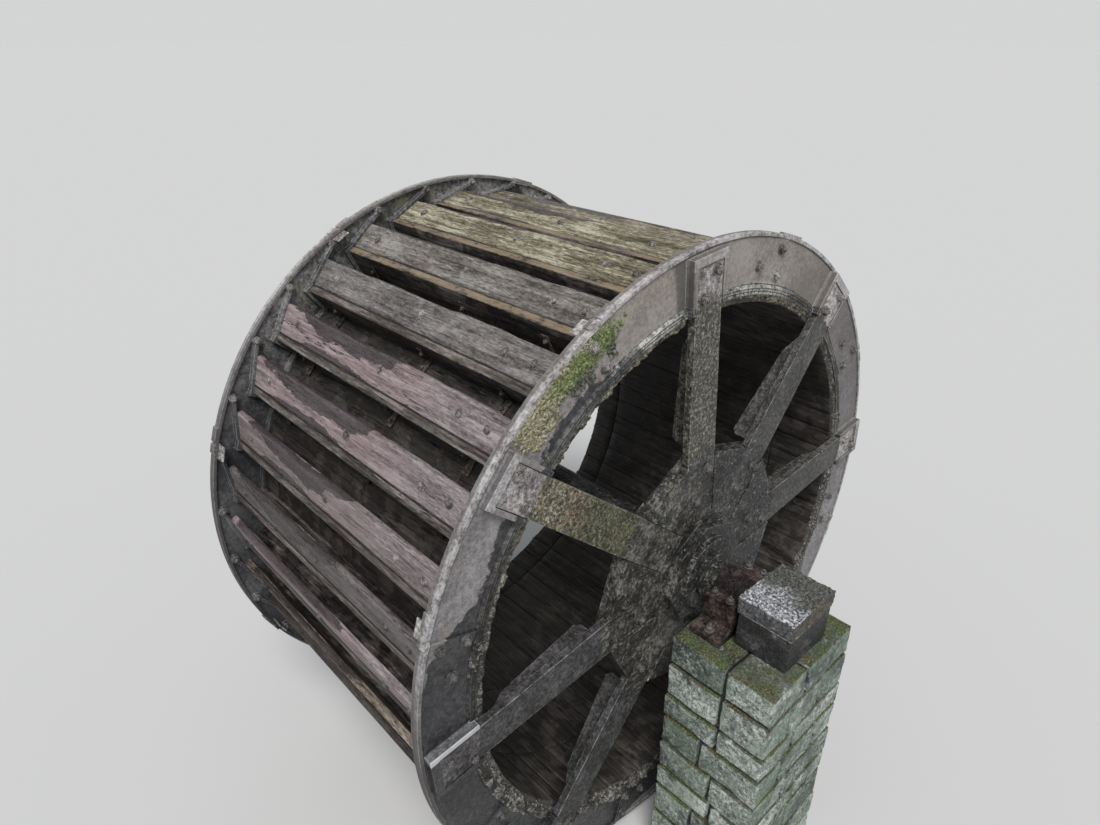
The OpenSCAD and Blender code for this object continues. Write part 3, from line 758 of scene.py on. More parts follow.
# The strip in one pocket, painted bright as metal an arm has rubbed and as a painted highlight, and the wet
# part below the wavy border, which low on the left reaches further out and stands partly for painted shade
aside = calc("SINE", (degrees - WORN_AND_LIT_POCKET) * (math.pi / 180)) * radius + STRIP_AT
strip = ramp(abs(aside), 0.019, 0.016) * (
    ramp(across, RING_FACE_Y + 0.002, RING_FACE_Y + 0.005) * ramp(radius, RIM_R - 0.002, RIM_R - 0.005))
strip = strip * (ramp(split(place)["X"], 0, -0.1) * near_side)
dry_rim = ramp(radius, RIM_R - 0.004, RIM_R) * ramp(degrees, 205, 190)
border = around(degrees, 185, 82, 66) * 0.105 + (wave * 0.3 + 1.5)
# Painted shade, partly wet: low on the left the dark wet part reaches further out
border = ramp(degrees, 154, 172, 0, 0.26) * lower + border
wet = ramp(radius - border, 0.006, -0.006) * outside * (1 - calc("MAXIMUM", dry_rim, strip))

# The dry face: painted light on its upper part, painted shade on the right and low down, with lichen, one
# dark streak, rust and flecks
dry = tone_color(tone, (0.142, 0.136, 0.139), (0.218, 0.21, 0.216), (0.305, 0.296, 0.298))
painted_sunlight = tone_color(tone, (0.235, 0.203, 0.174), (0.28, 0.246, 0.212), (0.335, 0.298, 0.262))
lichen = ramp(cloud(place, 130, 5, 0.75), 0.54, 0.64)
upper_lichen = around(degrees, 112, 34, 14) * (lichen * ramp(wave * 0.22 + radius, 1.93, 2))
for over, mask, share in (
        # painted light: the upper part paler and warmer, as if sunlit
        (painted_sunlight, around(degrees, 84, 58, 26, 0, 0.55), None),
        # painted shade on the right
        ((0.09, 0.084, 0.08), around(degrees, 20, 55, 25, 0, 0.5), None),
        # painted shade low down
        ((0.1, 0.102, 0.108), ramp(degrees, 150, 190, 0, 0.4) * lower, None),
        ((0.42, 0.4, 0.385), lichen, 0.35),
        ((0.46, 0.37, 0.25), upper_lichen, 0.8),
        # a dark streak beside the pocket at 95 degrees: partly a wet streak, partly the painted shadow of the
        # pocket's rib
        ((0.075, 0.076, 0.07), around(wave * 2.4 + degrees, 101.4, 1.8, 0.8), 0.72),
        ((0.195, 0.14, 0.11), ramp(cloud(place, 8.5, 8, 0.78), 0.53, 0.64), 0.34),
        ((0.07, 0.06, 0.054), ramp(cloud(place, 85, 6, 0.75), 0.58, 0.68), 0.7)):
    dry = lay(dry, over, mask, share)

# The rim: pale scale, darker at its lip, wet and in painted shade on the far left, in painted shade low down,
# and with a dark line where it meets the face
scale = mix_tones(cloud(place, 52, 8, 0.78), cloud(place, 11, 6, 0.7), 0.6)
scale = tone_color(scale, (0.15, 0.136, 0.131), (0.38, 0.366, 0.368), (0.62, 0.61, 0.61))
scale = lay(scale, (0.06, 0.06, 0.066), far_left_wet_shade, 0.85)
scale = lay(scale, (0.075, 0.068, 0.064), ramp(across, 1.128, 1.116, 0, 0.7))
# Painted shade on the rim low down
low_rim_shade = ramp(degrees, 158, 190, 0, 0.85) * lower
scale = lay(scale, (0.072, 0.067, 0.064), low_rim_shade)
dry = lay(dry, scale, rim, 0.8)
corner = ramp(wave * 0.016 + radius, RIM_R - 0.004, RIM_R + 0.005) * (1 - rim)
dry = lay(dry, (0.045, 0.04, 0.036), corner, 0.75)
# painted shade on the rim's front edge low down
dry = lay(dry, (0.072, 0.067, 0.065), low_rim_shade * dry_rim)

# The inner face with its ribs, green with algae towards the top
inside = tone_color(tone, (0.065, 0.065, 0.068), (0.175, 0.173, 0.176), (0.38, 0.37, 0.36))
algae = ramp(cloud(place, 9.5, 8, 0.75), 0.5, 0.62) * around(degrees, 95, 60, 25, 0.12, 0.75)
inside = lay(inside, (0.2, 0.19, 0.115), algae)
ribs = tone_color(tone, (0.065, 0.065, 0.069), (0.175, 0.173, 0.18), (0.34, 0.335, 0.34))
rib = ramp(across, 1.1185, 1.112) * ramp(radius, 1.692, 1.696) * ramp(radius, RIM_R - 0.001, RIM_R - 0.003)
inside = lay(inside, ribs, rib, 0.85)
# painted shade, partly wet, on the far ring's inner face at the left
inside = lay(inside, (0.052, 0.053, 0.062), far_left_wet_shade, 0.72)

# The band along the inner edge, paler on the upper left as painted light, with a dark line at each of its
# steps that is partly cracks and partly painted shade
brown = tone_color(tone, (0.026, 0.024, 0.022), (0.085, 0.08, 0.074), (0.24, 0.225, 0.2))
lit_band = tone_color(tone, (0.05, 0.052, 0.048), (0.22, 0.226, 0.208), (0.54, 0.53, 0.48))
brown = lay(brown, lit_band, around(degrees, 105, 52, 38))
# dark lines at the steps: partly cracks, partly painted shade
for step_r in BAND_STEPS_R:
    brown = lay(brown, (0.016, 0.015, 0.014), around(wave * 0.01 + radius, step_r, 0.0045, 0.0015), 0.8)
inner_band = ramp(wave * 0.05 + radius, 1.756, 1.748) * outside

# All laid together, with painted shade on the pockets' flanks, their pale borders, and the bright strip and
# edges
sunk = tone_color(tone, (0.05, 0.05, 0.052), (0.105, 0.104, 0.108), (0.2, 0.195, 0.19))
color = lay(inside, lay(dry, sunk, wet), outside)
color = lay(color, brown, inner_band)
# Painted shade on the pockets' side faces
flank = ramp(across, 1.158, 1.164) * (1 - raised)
color = lay(color, (0.05, 0.046, 0.044), flank, 0.5)
pale_bar = tone_color(tone, (0.26, 0.25, 0.25), (0.43, 0.42, 0.425), (0.62, 0.61, 0.61))
color = lay(color, pale_bar, raised * ramp(radius, 1.916, 1.92) * (1 - wet), 0.6)
flank_tone = tone_color(tone, (0.055, 0.057, 0.06), (0.1, 0.104, 0.112), (0.19, 0.195, 0.205))
# The strip: pale on its top and dark on its sides, partly rubbed metal and partly painted highlight
color = lay(color, lay(flank_tone, (0.52, 0.53, 0.55), raised), strip, 0.85)
# Pale edges, partly worn and partly painted highlight, near white on the strip as a painted glint
color = lay(color, lay((0.6, 0.59, 0.58), (0.95, 0.96, 0.98), strip), edge["Mask"], 0.75)
damp = (1 - outside) * ramp(cloud(place, 4, 6, 0.65), 0.55, 0.45, 0, 0.4)
amount = around(degrees, 124, 17, 5) * (ramp(radius, 1.77, 1.88) * (1 - rim)) * near_side
moss = use_group(moss_group, Vector=place, Amount=amount * 0.56 + 0.05, Fresh=0.55)
height = inner_band * (tone * 3) + (moss["Height"] * 1.6 + skin["Height"])
finish_wet(place, color, 0.7, calc("MAXIMUM", wet, damp), height, 0.7, 0.006, edge["Normal"], moss=moss)
paint([side + "_shroud_%d" % n for side in ("near", "far") for n in range(1, 5)], ring_iron)

LAP_BOLTS = ((1.918, 1.4), (1.775, 1.1), (1.819, 7.0))
LAP_L, LAP_H = 0.130, 0.012
BOSS_RADIUS, BOSS_BEHIND, BOSS_FACE_Y, BOSS_BOLT_SIZE = 1.954, 7.82, 1.086, 0.62
BUCKET_COUNT, BUCKET_STEP, ELBOW_START = 32, 11.25, 14.3
chance = random.Random(41)
spots = []
for side in (-1, 1):
    for joint in range(ARM_COUNT):
        for radius, degrees in LAP_BOLTS:
            run = radius * math.radians(degrees)
            lap = max(0.0, LAP_H * (1 - run / LAP_L))
            at = RING_JOINT + SECTOR * joint + degrees
            place = on_wheel(radius, at, side * (RING_FACE_Y + lap))
            along = beside(radius, at, 1, 0) - on_wheel(radius, at, 0)
            axis = Vector((0, side, 0)) + along * (LAP_H / LAP_L if lap else 0)
            spots.append((place, axis, chance.random() * 6, chance.uniform(0.9, 1.05)))
    for bucket in range(BUCKET_COUNT):
        place = on_wheel(BOSS_RADIUS, ELBOW_START + BUCKET_STEP * bucket - BOSS_BEHIND, side * BOSS_FACE_Y)
        spots.append((place, Vector((0, -side, 0)), chance.random() * 6, BOSS_BOLT_SIZE))
add_bolts("ring_bolts", spots, "wheel", "ring_iron", bolt_iron, washer_radius=0.032, nut_radius=0.022,
          nut_height=0.016)

# Crust and moss on the rings: lime, rust and moss have built up in lumps on the band along each ring's
# inner edge and over the ends of the sole boards, and a mat of moss grows on the near ring's upper left.
CRUST_PATH = ((1.726, 1.1400), (1.716, 1.1500), (1.704, 1.1545), (1.688, 1.1555), (1.674, 1.1545),
              (1.662, 1.1440), (1.650, 1.1370), (1.636, 1.1370), (1.624, 1.1310))
CRUST_STEPS, CRUST_BETWEEN, CRUST_H, CRUST_SINK = 1200, 2, 0.026, 0.004
ARM_CLEAR, BAND_MID_R, BAND_IN_R = 0.132, 1.68, 1.667

crust_mix, place = new_material("ring_crust")
lump = mix_tones(cloud(place, 28, 9, 0.78), cloud(place, 72, 7, 0.8), 0.45, 1.5)
spot = use_group(wheel_place, Vector=place)
upper = around(spot["Degrees"], 100, 65, 40)
black = tone_color(lump, (0.018, 0.017, 0.016), (0.078, 0.074, 0.07), (0.35, 0.34, 0.31))
tan = tone_color(lump, (0.05, 0.044, 0.03), (0.19, 0.172, 0.12), (0.46, 0.43, 0.33))
color = lay(black, tan, upper * 0.75 + 0.08)
moss = use_group(moss_group, Vector=place, Amount=upper * 0.16 + 0.1, Fresh=0.35)
color = lay(color, moss["Color"], moss["Mask"])
finish_material(color, ramp(lump, 0.35, 0.65, 0.45, 0.9), lump, 1, 0.01)


def swell(path, between):
    """Path points with more between them, each with the direction that points out of the surface."""
    points = [Vector(a).lerp(Vector(b), i / between) for a, b in zip(path, path[1:]) for i in range(between)]
    points.append(Vector(path[-1]))
    spread = []
    for i, point in enumerate(points):
        along = (points[min(i + 1, len(points) - 1)] - points[max(i - 1, 0)]).normalized()
        spread.append((point, Vector((along.y, -along.x)) if along.x < 0 else Vector((-along.y, along.x))))
    return spread


def skin_mesh(rows, columns, top, closed):
    """A thin closed skin: its upper face at top(row, column), its lower face sunk under what it lies on."""
    mesh = bmesh.new()
    grid = [[[mesh.verts.new(point) for point in top(i, j)] for j in range(columns)] for i in range(rows)]
    turns = rows if closed else rows - 1
    for i in range(turns):
        here, there = grid[i], grid[(i + 1) % rows]
        for j in range(columns - 1):
            for layer in (0, 1):
                mesh.faces.new((here[j][layer], there[j][layer], there[j + 1][layer], here[j + 1][layer]))
        for j in (0, columns - 1):
            mesh.faces.new((here[j][0], there[j][0], there[j][1], here[j][1]))
    if not closed:
        for i in (0, rows - 1):
            for j in range(columns - 1):
                mesh.faces.new((grid[i][j][0], grid[i][j + 1][0], grid[i][j + 1][1], grid[i][j][1]))
    bmesh.ops.recalc_face_normals(mesh, faces=mesh.faces)
    for face in mesh.faces:
        face.smooth = True
    return mesh


def from_arm(degrees):
    """Distance along the ring's inner edge from the nearest arm's middle line."""
    turn = (degrees - ARM_START + SECTOR / 2) % SECTOR - SECTOR / 2
    return abs(math.radians(turn)) * BAND_MID_R


spread = swell(CRUST_PATH, CRUST_BETWEEN)


def build_crust(side, seed):
    shift = Vector((seed, seed * 2, seed * 3))

    def top(i, j):
        degrees = 360 * i / CRUST_STEPS
        (radius, y), outward = spread[j]
        at = on_wheel(radius, degrees, side * y)
        big = noise.fractal(at * 9 + shift, 1.0, 2.0, 4) * 0.9
        fine = noise.fractal(at * 55 + shift, 1.0, 2.0, 4) * 0.55
        edge = min(1.0, 0.35 + min(j, len(spread) - 1 - j) / 4)
        low_left = 0.30 * math.cos(math.radians(degrees - 200))
        upper = max(0.0, math.cos(math.radians(degrees - 112))) * (1.3 if radius > BAND_IN_R else -0.15)
        rise = (0.08 + low_left - upper + big + fine) * CRUST_H * edge
        if from_arm(degrees) < ARM_CLEAR:
            rise = -CRUST_SINK
        rise = max(-CRUST_SINK * 0.9, min(CRUST_H, rise))
        low = Vector((radius, y)) - outward * CRUST_SINK
        high = Vector((radius, y)) + outward * rise
        return on_wheel(high.x, degrees, side * high.y), on_wheel(low.x, degrees, side * low.y)
    return skin_mesh(CRUST_STEPS, len(spread), top, True)


for name, side, seed in (("near", -1, 3.3), ("far", 1, 8.1)):
    finish_piece(name + "_ring_crust", build_crust(side, seed), [crust_mix], "wheel")

MOSS_FROM, MOSS_TO, MOSS_IN, MOSS_OUT = 111.0, 140.0, 1.775, 1.979
MOSS_ROWS, MOSS_COLUMNS, MOSS_H, MOSS_SINK = 300, 64, 0.014, 0.004
moss_mat, place = new_material("moss_mat")
tuft = cloud(place, 75, 8, 0.8)
green = tone_color(tuft, (0.05, 0.066, 0.022), (0.205, 0.255, 0.105), (0.44, 0.5, 0.24))
brown = tone_color(tuft, (0.13, 0.118, 0.07), (0.42, 0.395, 0.265), (0.7, 0.67, 0.5))
dark = tone_color(tuft, (0.03, 0.034, 0.026), (0.115, 0.122, 0.092), (0.3, 0.31, 0.25))
spot = use_group(wheel_place, Vector=place)
drift = cloud(place, 11, 6, 0.7) * 0.22 + spot["Radius"]
color = lay(dark, green, ramp(drift, 1.95, 2.01))
later = cloud(place, 9, 6, 0.7) * 16 + spot["Degrees"]
color = lay(color, brown, calc("MAXIMUM", ramp(drift, 2.055, 2.095), ramp(later, 132, 139)))
finish_material(color, ramp(tuft, 0.3, 0.7, 0.75, 1), tuft, 1, 0.012, None, 0.15)


def build_moss():
    def top(i, j):
        degrees = MOSS_FROM + (MOSS_TO - MOSS_FROM) * i / (MOSS_ROWS - 1)
        radius = MOSS_IN + (MOSS_OUT - MOSS_IN) * j / (MOSS_COLUMNS - 1)
        at = on_wheel(radius, degrees, -RING_FACE_Y)
        ends = min(1.0, (degrees - MOSS_FROM) / 7, (MOSS_TO - degrees) / 6)
        inner = min(1.0, (radius - MOSS_IN) / 0.10)
        patch = noise.fractal(at * 8, 1.0, 2.0, 4) * 0.75 + noise.fractal(at * 55, 0.8, 2.0, 3) * 0.45
        patch = patch + 0.95 * ends + 0.75 * inner - 1.22
        tufts = 0.60 + 0.50 * noise.noise(at * 90) + 0.45 * noise.noise(at * 190)
        rise = min(MOSS_H, patch * 0.045) * max(0.2, tufts) if patch > 0 else -0.002
        return [on_wheel(radius, degrees, y) for y in (-RING_FACE_Y - rise, -RING_FACE_Y + MOSS_SINK)]
    return skin_mesh(MOSS_ROWS, MOSS_COLUMNS, top, False)


finish_piece("ring_moss", build_moss(), [moss_mat], "wheel")

# Joint plates: a flat iron plate under the rim at each joint of the rings' segments, where it stands out
# towards the boards. Their worn skin is paler than the rings'.
JOINT_PLATE_HALF, JOINT_PLATE_R, JOINT_PLATE_Y = (0.006, 0.048, 0.050), 1.972, 1.078
PLATE_EDGE, PLATE_STEPS = 0.003, (0.012, 0.02, 0.02)
plate_iron, place, skin, edge = new_iron("plate_iron", 0.6, 0.004)
color = tone_color(skin["Tone"], (0.12, 0.11, 0.1), (0.33, 0.32, 0.31), (0.58, 0.57, 0.55))
color = lay(color, (0.6, 0.59, 0.57), edge["Mask"], 0.5)
finish_material(color, ramp(skin["Tone"], 0.3, 0.7, 0.5, 0.85), skin["Height"], 1, 0.004, edge["Normal"])


def wheel_frame(degrees):
    """Columns: outwards, towards greater angles and along the axle towards the near side."""
    angle = math.radians(degrees)
    outwards = Vector((math.cos(angle), 0, math.sin(angle)))
    onwards = Vector((-math.sin(angle), 0, math.cos(angle)))
    basis = Matrix((outwards, onwards, Vector((0, -1, 0)))).transposed().to_4x4()
    return Matrix.Translation((0, 0, AXLE_Z)) @ basis


mesh = bmesh.new()
chance = random.Random(36)
for side in (-1, 1):
    for joint in range(ARM_COUNT):
        here = wheel_frame(RING_JOINT + SECTOR * joint + chance.uniform(-0.5, 0.5))
        add_block(mesh, JOINT_PLATE_HALF, PLATE_EDGE, PLATE_STEPS,
                  rough_stone(chance.random() * 20, 0.002, 0.001),
                  here @ Matrix.Translation((JOINT_PLATE_R, 0, -side * JOINT_PLATE_Y)))
finish_piece("joint_plates", mesh, [plate_iron], "wheel")

# Sole boards: 64 oak staves laid edge to edge inside the rings' inner flanges, each in four lengths
# that meet over a strap. They are soaked brown and black, and their ends carry lumps of moss.
SOLE_FACE, SOLE_T, SOLE_HALF_L, SOLE_STEP = 1.6678, 0.045, 1.138, 5.625
SOLE_W_OUT, SOLE_W_IN, SOLE_STEPS = 0.1622, 0.1578, (0.02, 0.034, 0.07)
BOARD_EDGE = 0.006
JOINTS_Y = (-0.68, -0.01, 0.91)
JOINT_GAP = 0.004


def stretch(vector, scale, shift=(0, 0, 0)):
    return add_node("ShaderNodeMapping", {"Vector": vector, "Scale": scale, "Location": shift})[0]


def board_tags(mesh, number, origin, age=1.0, wet=1.0):
    """Writes each point's place along and across its board, and the board's number, age and wetness."""
    grain = mesh.verts.layers.float_vector.get("grain") or mesh.verts.layers.float_vector.new("grain")
    facts = [(mesh.verts.layers.float.get(key) or mesh.verts.layers.float.new(key), value)
             for key, value in (("number", number), ("age", age), ("wet", wet))]

    def tag(vertex, point):
        vertex[grain] = point + origin
        for layer, value in facts:
            vertex[layer] = value
    return tag


def worn_board(seed, bow, wear, ends):
    """Bows a board a little, rounds its weathered arrises unevenly and frays its ends."""
    shift = Vector((seed * 3.7, seed * 1.9, seed * 5.3))

    def shape(point, outward):
        along = Vector((point.x * 4, point.y * 4, point.z * 1.3))
        bend = noise.noise(Vector((0, seed * 2.1, point.z * 0.7)) + shift) * bow
        arris = 1 - max(abs(outward.x), abs(outward.y), abs(outward.z))
        gouge = max(0.0, noise.noise(along * 2.2 + shift) - 0.05) * wear * arris * 3
        skin = noise.noise(Vector((point.x * 40, point.y * 40, point.z * 4)) + shift) * 0.0008
        fray = noise.noise(point * 45 + shift) * ends * abs(outward.z)
        return point + outward * (skin - gouge - abs(fray)) + Vector((bend, 0, 0))
    return shape


def grain_color(place, tones, gain=1.4):
    """Grain running along a board, with dark flecks and checks and a tone of its own for each board."""
    grain = attribute(place, "grain")["Vector"]
    number = attribute(place, "number")["Fac"]
    offset = add_node("ShaderNodeCombineXYZ", {"X": number * 1.37, "Z": number * 3.71})[0]
    vector = add_node("ShaderNodeVectorMath", {0: grain, 1: offset}, operation="ADD")[0]
    sway = add_node("ShaderNodeTexNoise", {"Vector": stretch(vector, (3, 3, 1.2)), "Scale": 1.0,
                                           "Detail": 3.0})["Color"]
    bent = add_node("ShaderNodeVectorMath", {0: sway, 1: (0.06, 0.06, 0.0), 2: vector},
                    operation="MULTIPLY_ADD")[0]
    fibre = cloud(stretch(bent, (1, 1, 0.1)), 95, 8, 0.78)
    band = cloud(stretch(bent, (1, 1, 0.06)), 30, 6, 0.65)
    check = cloud(stretch(bent, (1, 1, 0.045)), 22, 4, 0.55)
    crack = ramp(abs(check - 0.5), 0.004, 0.013, 1, 0)
    some = ramp(cloud(stretch(vector, (9, 9, 1.3)), 1, 3, 0.5), 0.54, 0.6)
    crack = crack * some
    fleck = ramp(cloud(stretch(bent, (1, 1, 0.22)), 120, 6, 0.75), 0.57, 0.66)
    worn = ramp(cloud(stretch(vector, (7, 7, 2.4)), 1, 6, 0.7), 0.44, 0.6)
    tone = mix_tones(fibre, band, 0.5, gain)
    color = tone_color(tone, *tones)
    color = lay(color, tones[0], fleck * worn, 0.75)
    color = lay(color, (0.01, 0.008, 0.007), crack)
    height = fleck * -0.5 + (fibre * 0.8 + band)
    return color, crack * -2 + height, vector


sole_wood, place = new_material("sole_wood")
color, height, vector = grain_color(place, ((0.03, 0.026, 0.024), (0.071, 0.061, 0.057),
                                            (0.13, 0.117, 0.107)), 1.0)
stain = ramp(cloud(stretch(vector, (30, 30, 9)), 1, 7, 0.75), 0.48, 0.6)
color = lay(color, (0.085, 0.078, 0.058), stain, 0.5)
edge = use_group(edge_group, Vector=place, Radius=0.006)
color = lay(color, (0.22, 0.195, 0.16), edge["Mask"], 0.45)
wet = ramp(cloud(place, 6.3, 7, 0.7), 0.56, 0.48, 0, 0.7)
finish_wet(place, color, 0.75, wet, height, 1, 0.006)


def cut_lengths(half, cuts):
    marks = [-half] + sorted(cuts) + [half]
    return [(a + (JOINT_GAP / 2 if a > -half else 0), b - (JOINT_GAP / 2 if b < half else 0))
            for a, b in zip(marks, marks[1:])]


def finish_quarters(name, build, wood, node):
    """Makes all boards of a kind, a quarter of the wheel at a time, each in place of its own CAD node."""
    for n in range(1, 5):
        finish_piece("%s_%d" % (name, n), build(n - 1), [wood], "wheel", ["%s_%d" % (node, n)])


def build_sole(quarter):
    mesh = bmesh.new()
    chance = random.Random(50 + quarter)
    for k in range(quarter * 16, quarter * 16 + 16):
        frame_here = wheel_frame(ARM_START + (k + 0.5) * SOLE_STEP)
        for z0, z1 in cut_lengths(SOLE_HALF_L, [-y for y in JOINTS_Y]):
            worn = worn_board(chance.random() * 30, 0.001, 0.008, 0.004)

            def shape(point, outward, worn=worn):
                narrow = 1 - (1 - SOLE_W_IN / SOLE_W_OUT) * (0.5 - point.x / SOLE_T)
                moved = worn(point, outward)
                return Vector((moved.x, moved.y * narrow, moved.z))

            middle = (z0 + z1) / 2
            place = frame_here @ Matrix.Translation((SOLE_FACE - SOLE_T / 2, 0, middle))
            add_block(mesh, (SOLE_T / 2, SOLE_W_OUT / 2, (z1 - z0) / 2), BOARD_EDGE, SOLE_STEPS, shape,
                      place, board_tags(mesh, k + 0.37 * z0, Vector((0, 0, middle))))
    return mesh


finish_quarters("sole_staves", build_sole, sole_wood, "sole_boards")

# Floor boards: one thick oak plank on edge in each bucket, along the radius, held at the ends by the
# rings' ribs and fixed to the sole by three bent straps.
ELBOW_R, FLOOR_T, FLOOR_FOOT, PLANK_HALF_L, FLOOR_IN_HALF_L = 1.854, 0.052, 1.690, 1.120, 1.086
FLOOR_ROOT, FLOOR_LAP, FLOOR_STEPS = 1.6701, 0.004, (0.03, 0.02, 0.06)
floor_wood, place = new_material("floor_wood")
color, height, vector = grain_color(place, ((0.03, 0.025, 0.023), (0.11, 0.093, 0.087), (0.26, 0.23, 0.22)))
stain = ramp(cloud(stretch(vector, (30, 30, 8)), 1, 7, 0.75), 0.48, 0.6)
color = lay(color, (0.08, 0.07, 0.052), stain, 0.5)
spot = use_group(wheel_place, Vector=place)
age = attribute(place, "age")["Fac"]
golden = ramp(age, 0.25, 0.6) * ramp(age, 1.1, 1.5, 0.75, 0.15)
golden = golden * ramp(cloud(stretch(vector, (9, 9, 6)), 1, 7, 0.75), 0.42, 0.52)
bleached_and_shadowed = lay(color, (0.29, 0.225, 0.145), golden)
# Painted shadow: a dark line along one side of each floor board's outer edge, where the outer board meets it
thick = split(attribute(place, "grain")["Vector"])["Y"]
bleached_and_shadowed = lay(bleached_and_shadowed, (0.02, 0.017, 0.015), ramp(thick, -0.014, -0.019))
outer_edge = ramp(cloud(place, 24, 5, 0.6) * 0.016 + spot["Radius"], 1.856, 1.861)
color = lay(color, bleached_and_shadowed, outer_edge)
edge = use_group(edge_group, Vector=place, Radius=0.006)
color = lay(color, (0.27, 0.235, 0.22), edge["Mask"], 0.4)
wet = ramp(cloud(place, 4, 6, 0.65), 0.58, 0.46) * (1 - outer_edge)
finish_wet(place, color, 0.75, wet, height, 1, 0.006)


# Age and wetness of the buckets' boards on the upper left, from the first dry one; the rest are old and wet
FIRST_DRY = 7
BOARD_AGES = (1.1, 1.0, 0.58, 0.30, 0.0, 0.03, 0.12, 0.25, 0.0)
BOARD_WETS = (0.6, 0.25, 0.20, 0.10, 1.0, 1.0, 1.15, 1.37, 0.6)


def board_age(k):
    return BOARD_AGES[k - FIRST_DRY] if 0 <= k - FIRST_DRY < len(BOARD_AGES) else 1.3 + 0.3 * (k % 3) / 2


def board_wet(k):
    return BOARD_WETS[k - FIRST_DRY] if 0 <= k - FIRST_DRY < len(BOARD_WETS) else 0.9 + 0.8 * (k % 3) / 2


def build_floor(quarter):
    mesh = bmesh.new()
    chance = random.Random(60 + quarter)
    for k in range(quarter * 8, quarter * 8 + 8):
        frame_here = wheel_frame(ELBOW_START + BUCKET_STEP * k)
        for r0, r1, half in ((FLOOR_FOOT, ELBOW_R, PLANK_HALF_L),
                             (FLOOR_ROOT, FLOOR_FOOT + FLOOR_LAP, FLOOR_IN_HALF_L)):
            place = frame_here @ Matrix.Translation(((r0 + r1) / 2, FLOOR_T / 2, 0))
            add_block(mesh, ((r1 - r0) / 2, FLOOR_T / 2, half), min(BOARD_EDGE, (r1 - r0) / 3), FLOOR_STEPS,
                      worn_board(chance.random() * 30, 0.0, 0.010, 0.003), place,
                      board_tags(mesh, k, Vector((r0, 0, 0)), board_age(k)))
    return mesh


finish_quarters("floor_planks", build_floor, floor_wood, "floor_boards")

# Outer boards: one wide oak board a bucket from the elbow out towards the rim, sawn to lie on the floor
# board. The weather has worn their upper edges hollow, and damp has drawn dark shapes on them.
BOARD_W, BOARD_T, BOARD_SLOPE, ROOT_LINE = 0.1859, 0.045, math.radians(14.8), 0.186
OUTER_EDGE, OUTER_STEPS = 0.008, (0.018, 0.015, 0.030)
outer_wood, place = new_material("outer_wood")
color, height, vector = grain_color(place, ((0.165, 0.125, 0.126), (0.29, 0.226, 0.233),
                                            (0.41, 0.335, 0.345)))
age = attribute(place, "age")["Fac"]
level = attribute(place, "wet")["Fac"]
parts = split(attribute(place, "grain")["Vector"])
from_tip, along = parts["X"], parts["Z"]
speckle = cloud(stretch(vector, (1, 1, 0.22)), 90, 9, 0.8)
streaks = cloud(stretch(vector, (1, 1, 0.06)), 30, 7, 0.72)
speckle = mix_tones(speckle, streaks, 0.55)
speckle = mix_tones(speckle, cloud(stretch(vector, (1, 1, 0.5)), 7, 6, 0.65), 0.75, 1.25)
grey = tone_color(speckle, (0.053, 0.048, 0.045), (0.165, 0.153, 0.146), (0.31, 0.295, 0.285))
olive = tone_color(speckle, (0.055, 0.046, 0.028), (0.205, 0.18, 0.12), (0.52, 0.49, 0.37))
color = lay(color, grey, ramp(age, 0, 0.3, 0, 0.95))
color = lay(color, olive, ramp(age, 0.45, 0.95, 0, 0.9))
brown = tone_color(speckle, (0.03, 0.024, 0.019), (0.14, 0.114, 0.094), (0.34, 0.3, 0.25))
color = lay(color, brown, ramp(age, 1.1, 1.5, 0, 0.9))
near_end = ramp(cloud(stretch(vector, (6, 6, 3)), 1, 6, 0.7) * 0.9 + along, 0.3, -0.35)
weathered = tone_color(speckle, (0.08, 0.067, 0.068), (0.238, 0.202, 0.21), (0.45, 0.41, 0.42))
color = lay(color, weathered, near_end * ramp(age, 0.35, 0.05, 0, 0.8))
wave = cloud(stretch(vector, (4.5, 4.5, 2.4)), 1, 7, 0.66)
other = cloud(stretch(vector, (3.0, 3.0, 2.0), (5, 5, 5)), 1, 7, 0.66)
tip_side = around(along, 0.36, 0.78, 0.22)
root_side = around(along, 0.48, 0.52, 0.18)
tongue = tip_side * 0.105 + (wave * 0.24 - 0.145)
foot = root_side * 0.048 + (other * 0.18 - 0.108)
tip_wet = ramp(from_tip - tongue * level, 0.003, -0.003)
root_wet = ramp(ROOT_LINE - from_tip - foot * level, 0.003, -0.003)
soaked = ramp(level, 1.3, 1.45)
wet = calc("MAXIMUM", calc("MAXIMUM", tip_wet, root_wet), soaked)
edge = use_group(edge_group, Vector=place, Radius=0.008)
color = lay(color, (0.15, 0.105, 0.095), wet, 0.35)
film = use_group(wet_group, Vector=place, Color=color, Roughness=0.8, Wet=wet)
pale_edge = edge["Mask"] * ramp(soaked, 0, 1, 0.65, 0.25)
color = lay(film["Color"], (0.46, 0.42, 0.41), pale_edge)
moss = use_group(moss_group, Vector=place, Amount=ramp(age, 0.6, 1, 0.02, 0.26), Fresh=0.5)
color = lay(color, moss["Color"], moss["Mask"])
roughness = calc("MAXIMUM", film["Roughness"], moss["Mask"])
finish_material(color, roughness, moss["Height"] * 1.2 + height, 1, 0.006)


def outer_place(k):
    """Columns: from the tip to the elbow, outwards from the board's face, and along the board."""
    inwards = Vector((-math.sin(BOARD_SLOPE), math.cos(BOARD_SLOPE), 0))
    face = Vector((math.cos(BOARD_SLOPE), math.sin(BOARD_SLOPE), 0))
    basis = Matrix((inwards, face, inwards.cross(face))).transposed().to_4x4()
    tip = Vector((ELBOW_R, 0, 0)) - inwards * BOARD_W
    return wheel_frame(ELBOW_START + BUCKET_STEP * k) @ Matrix.Translation(tip) @ basis


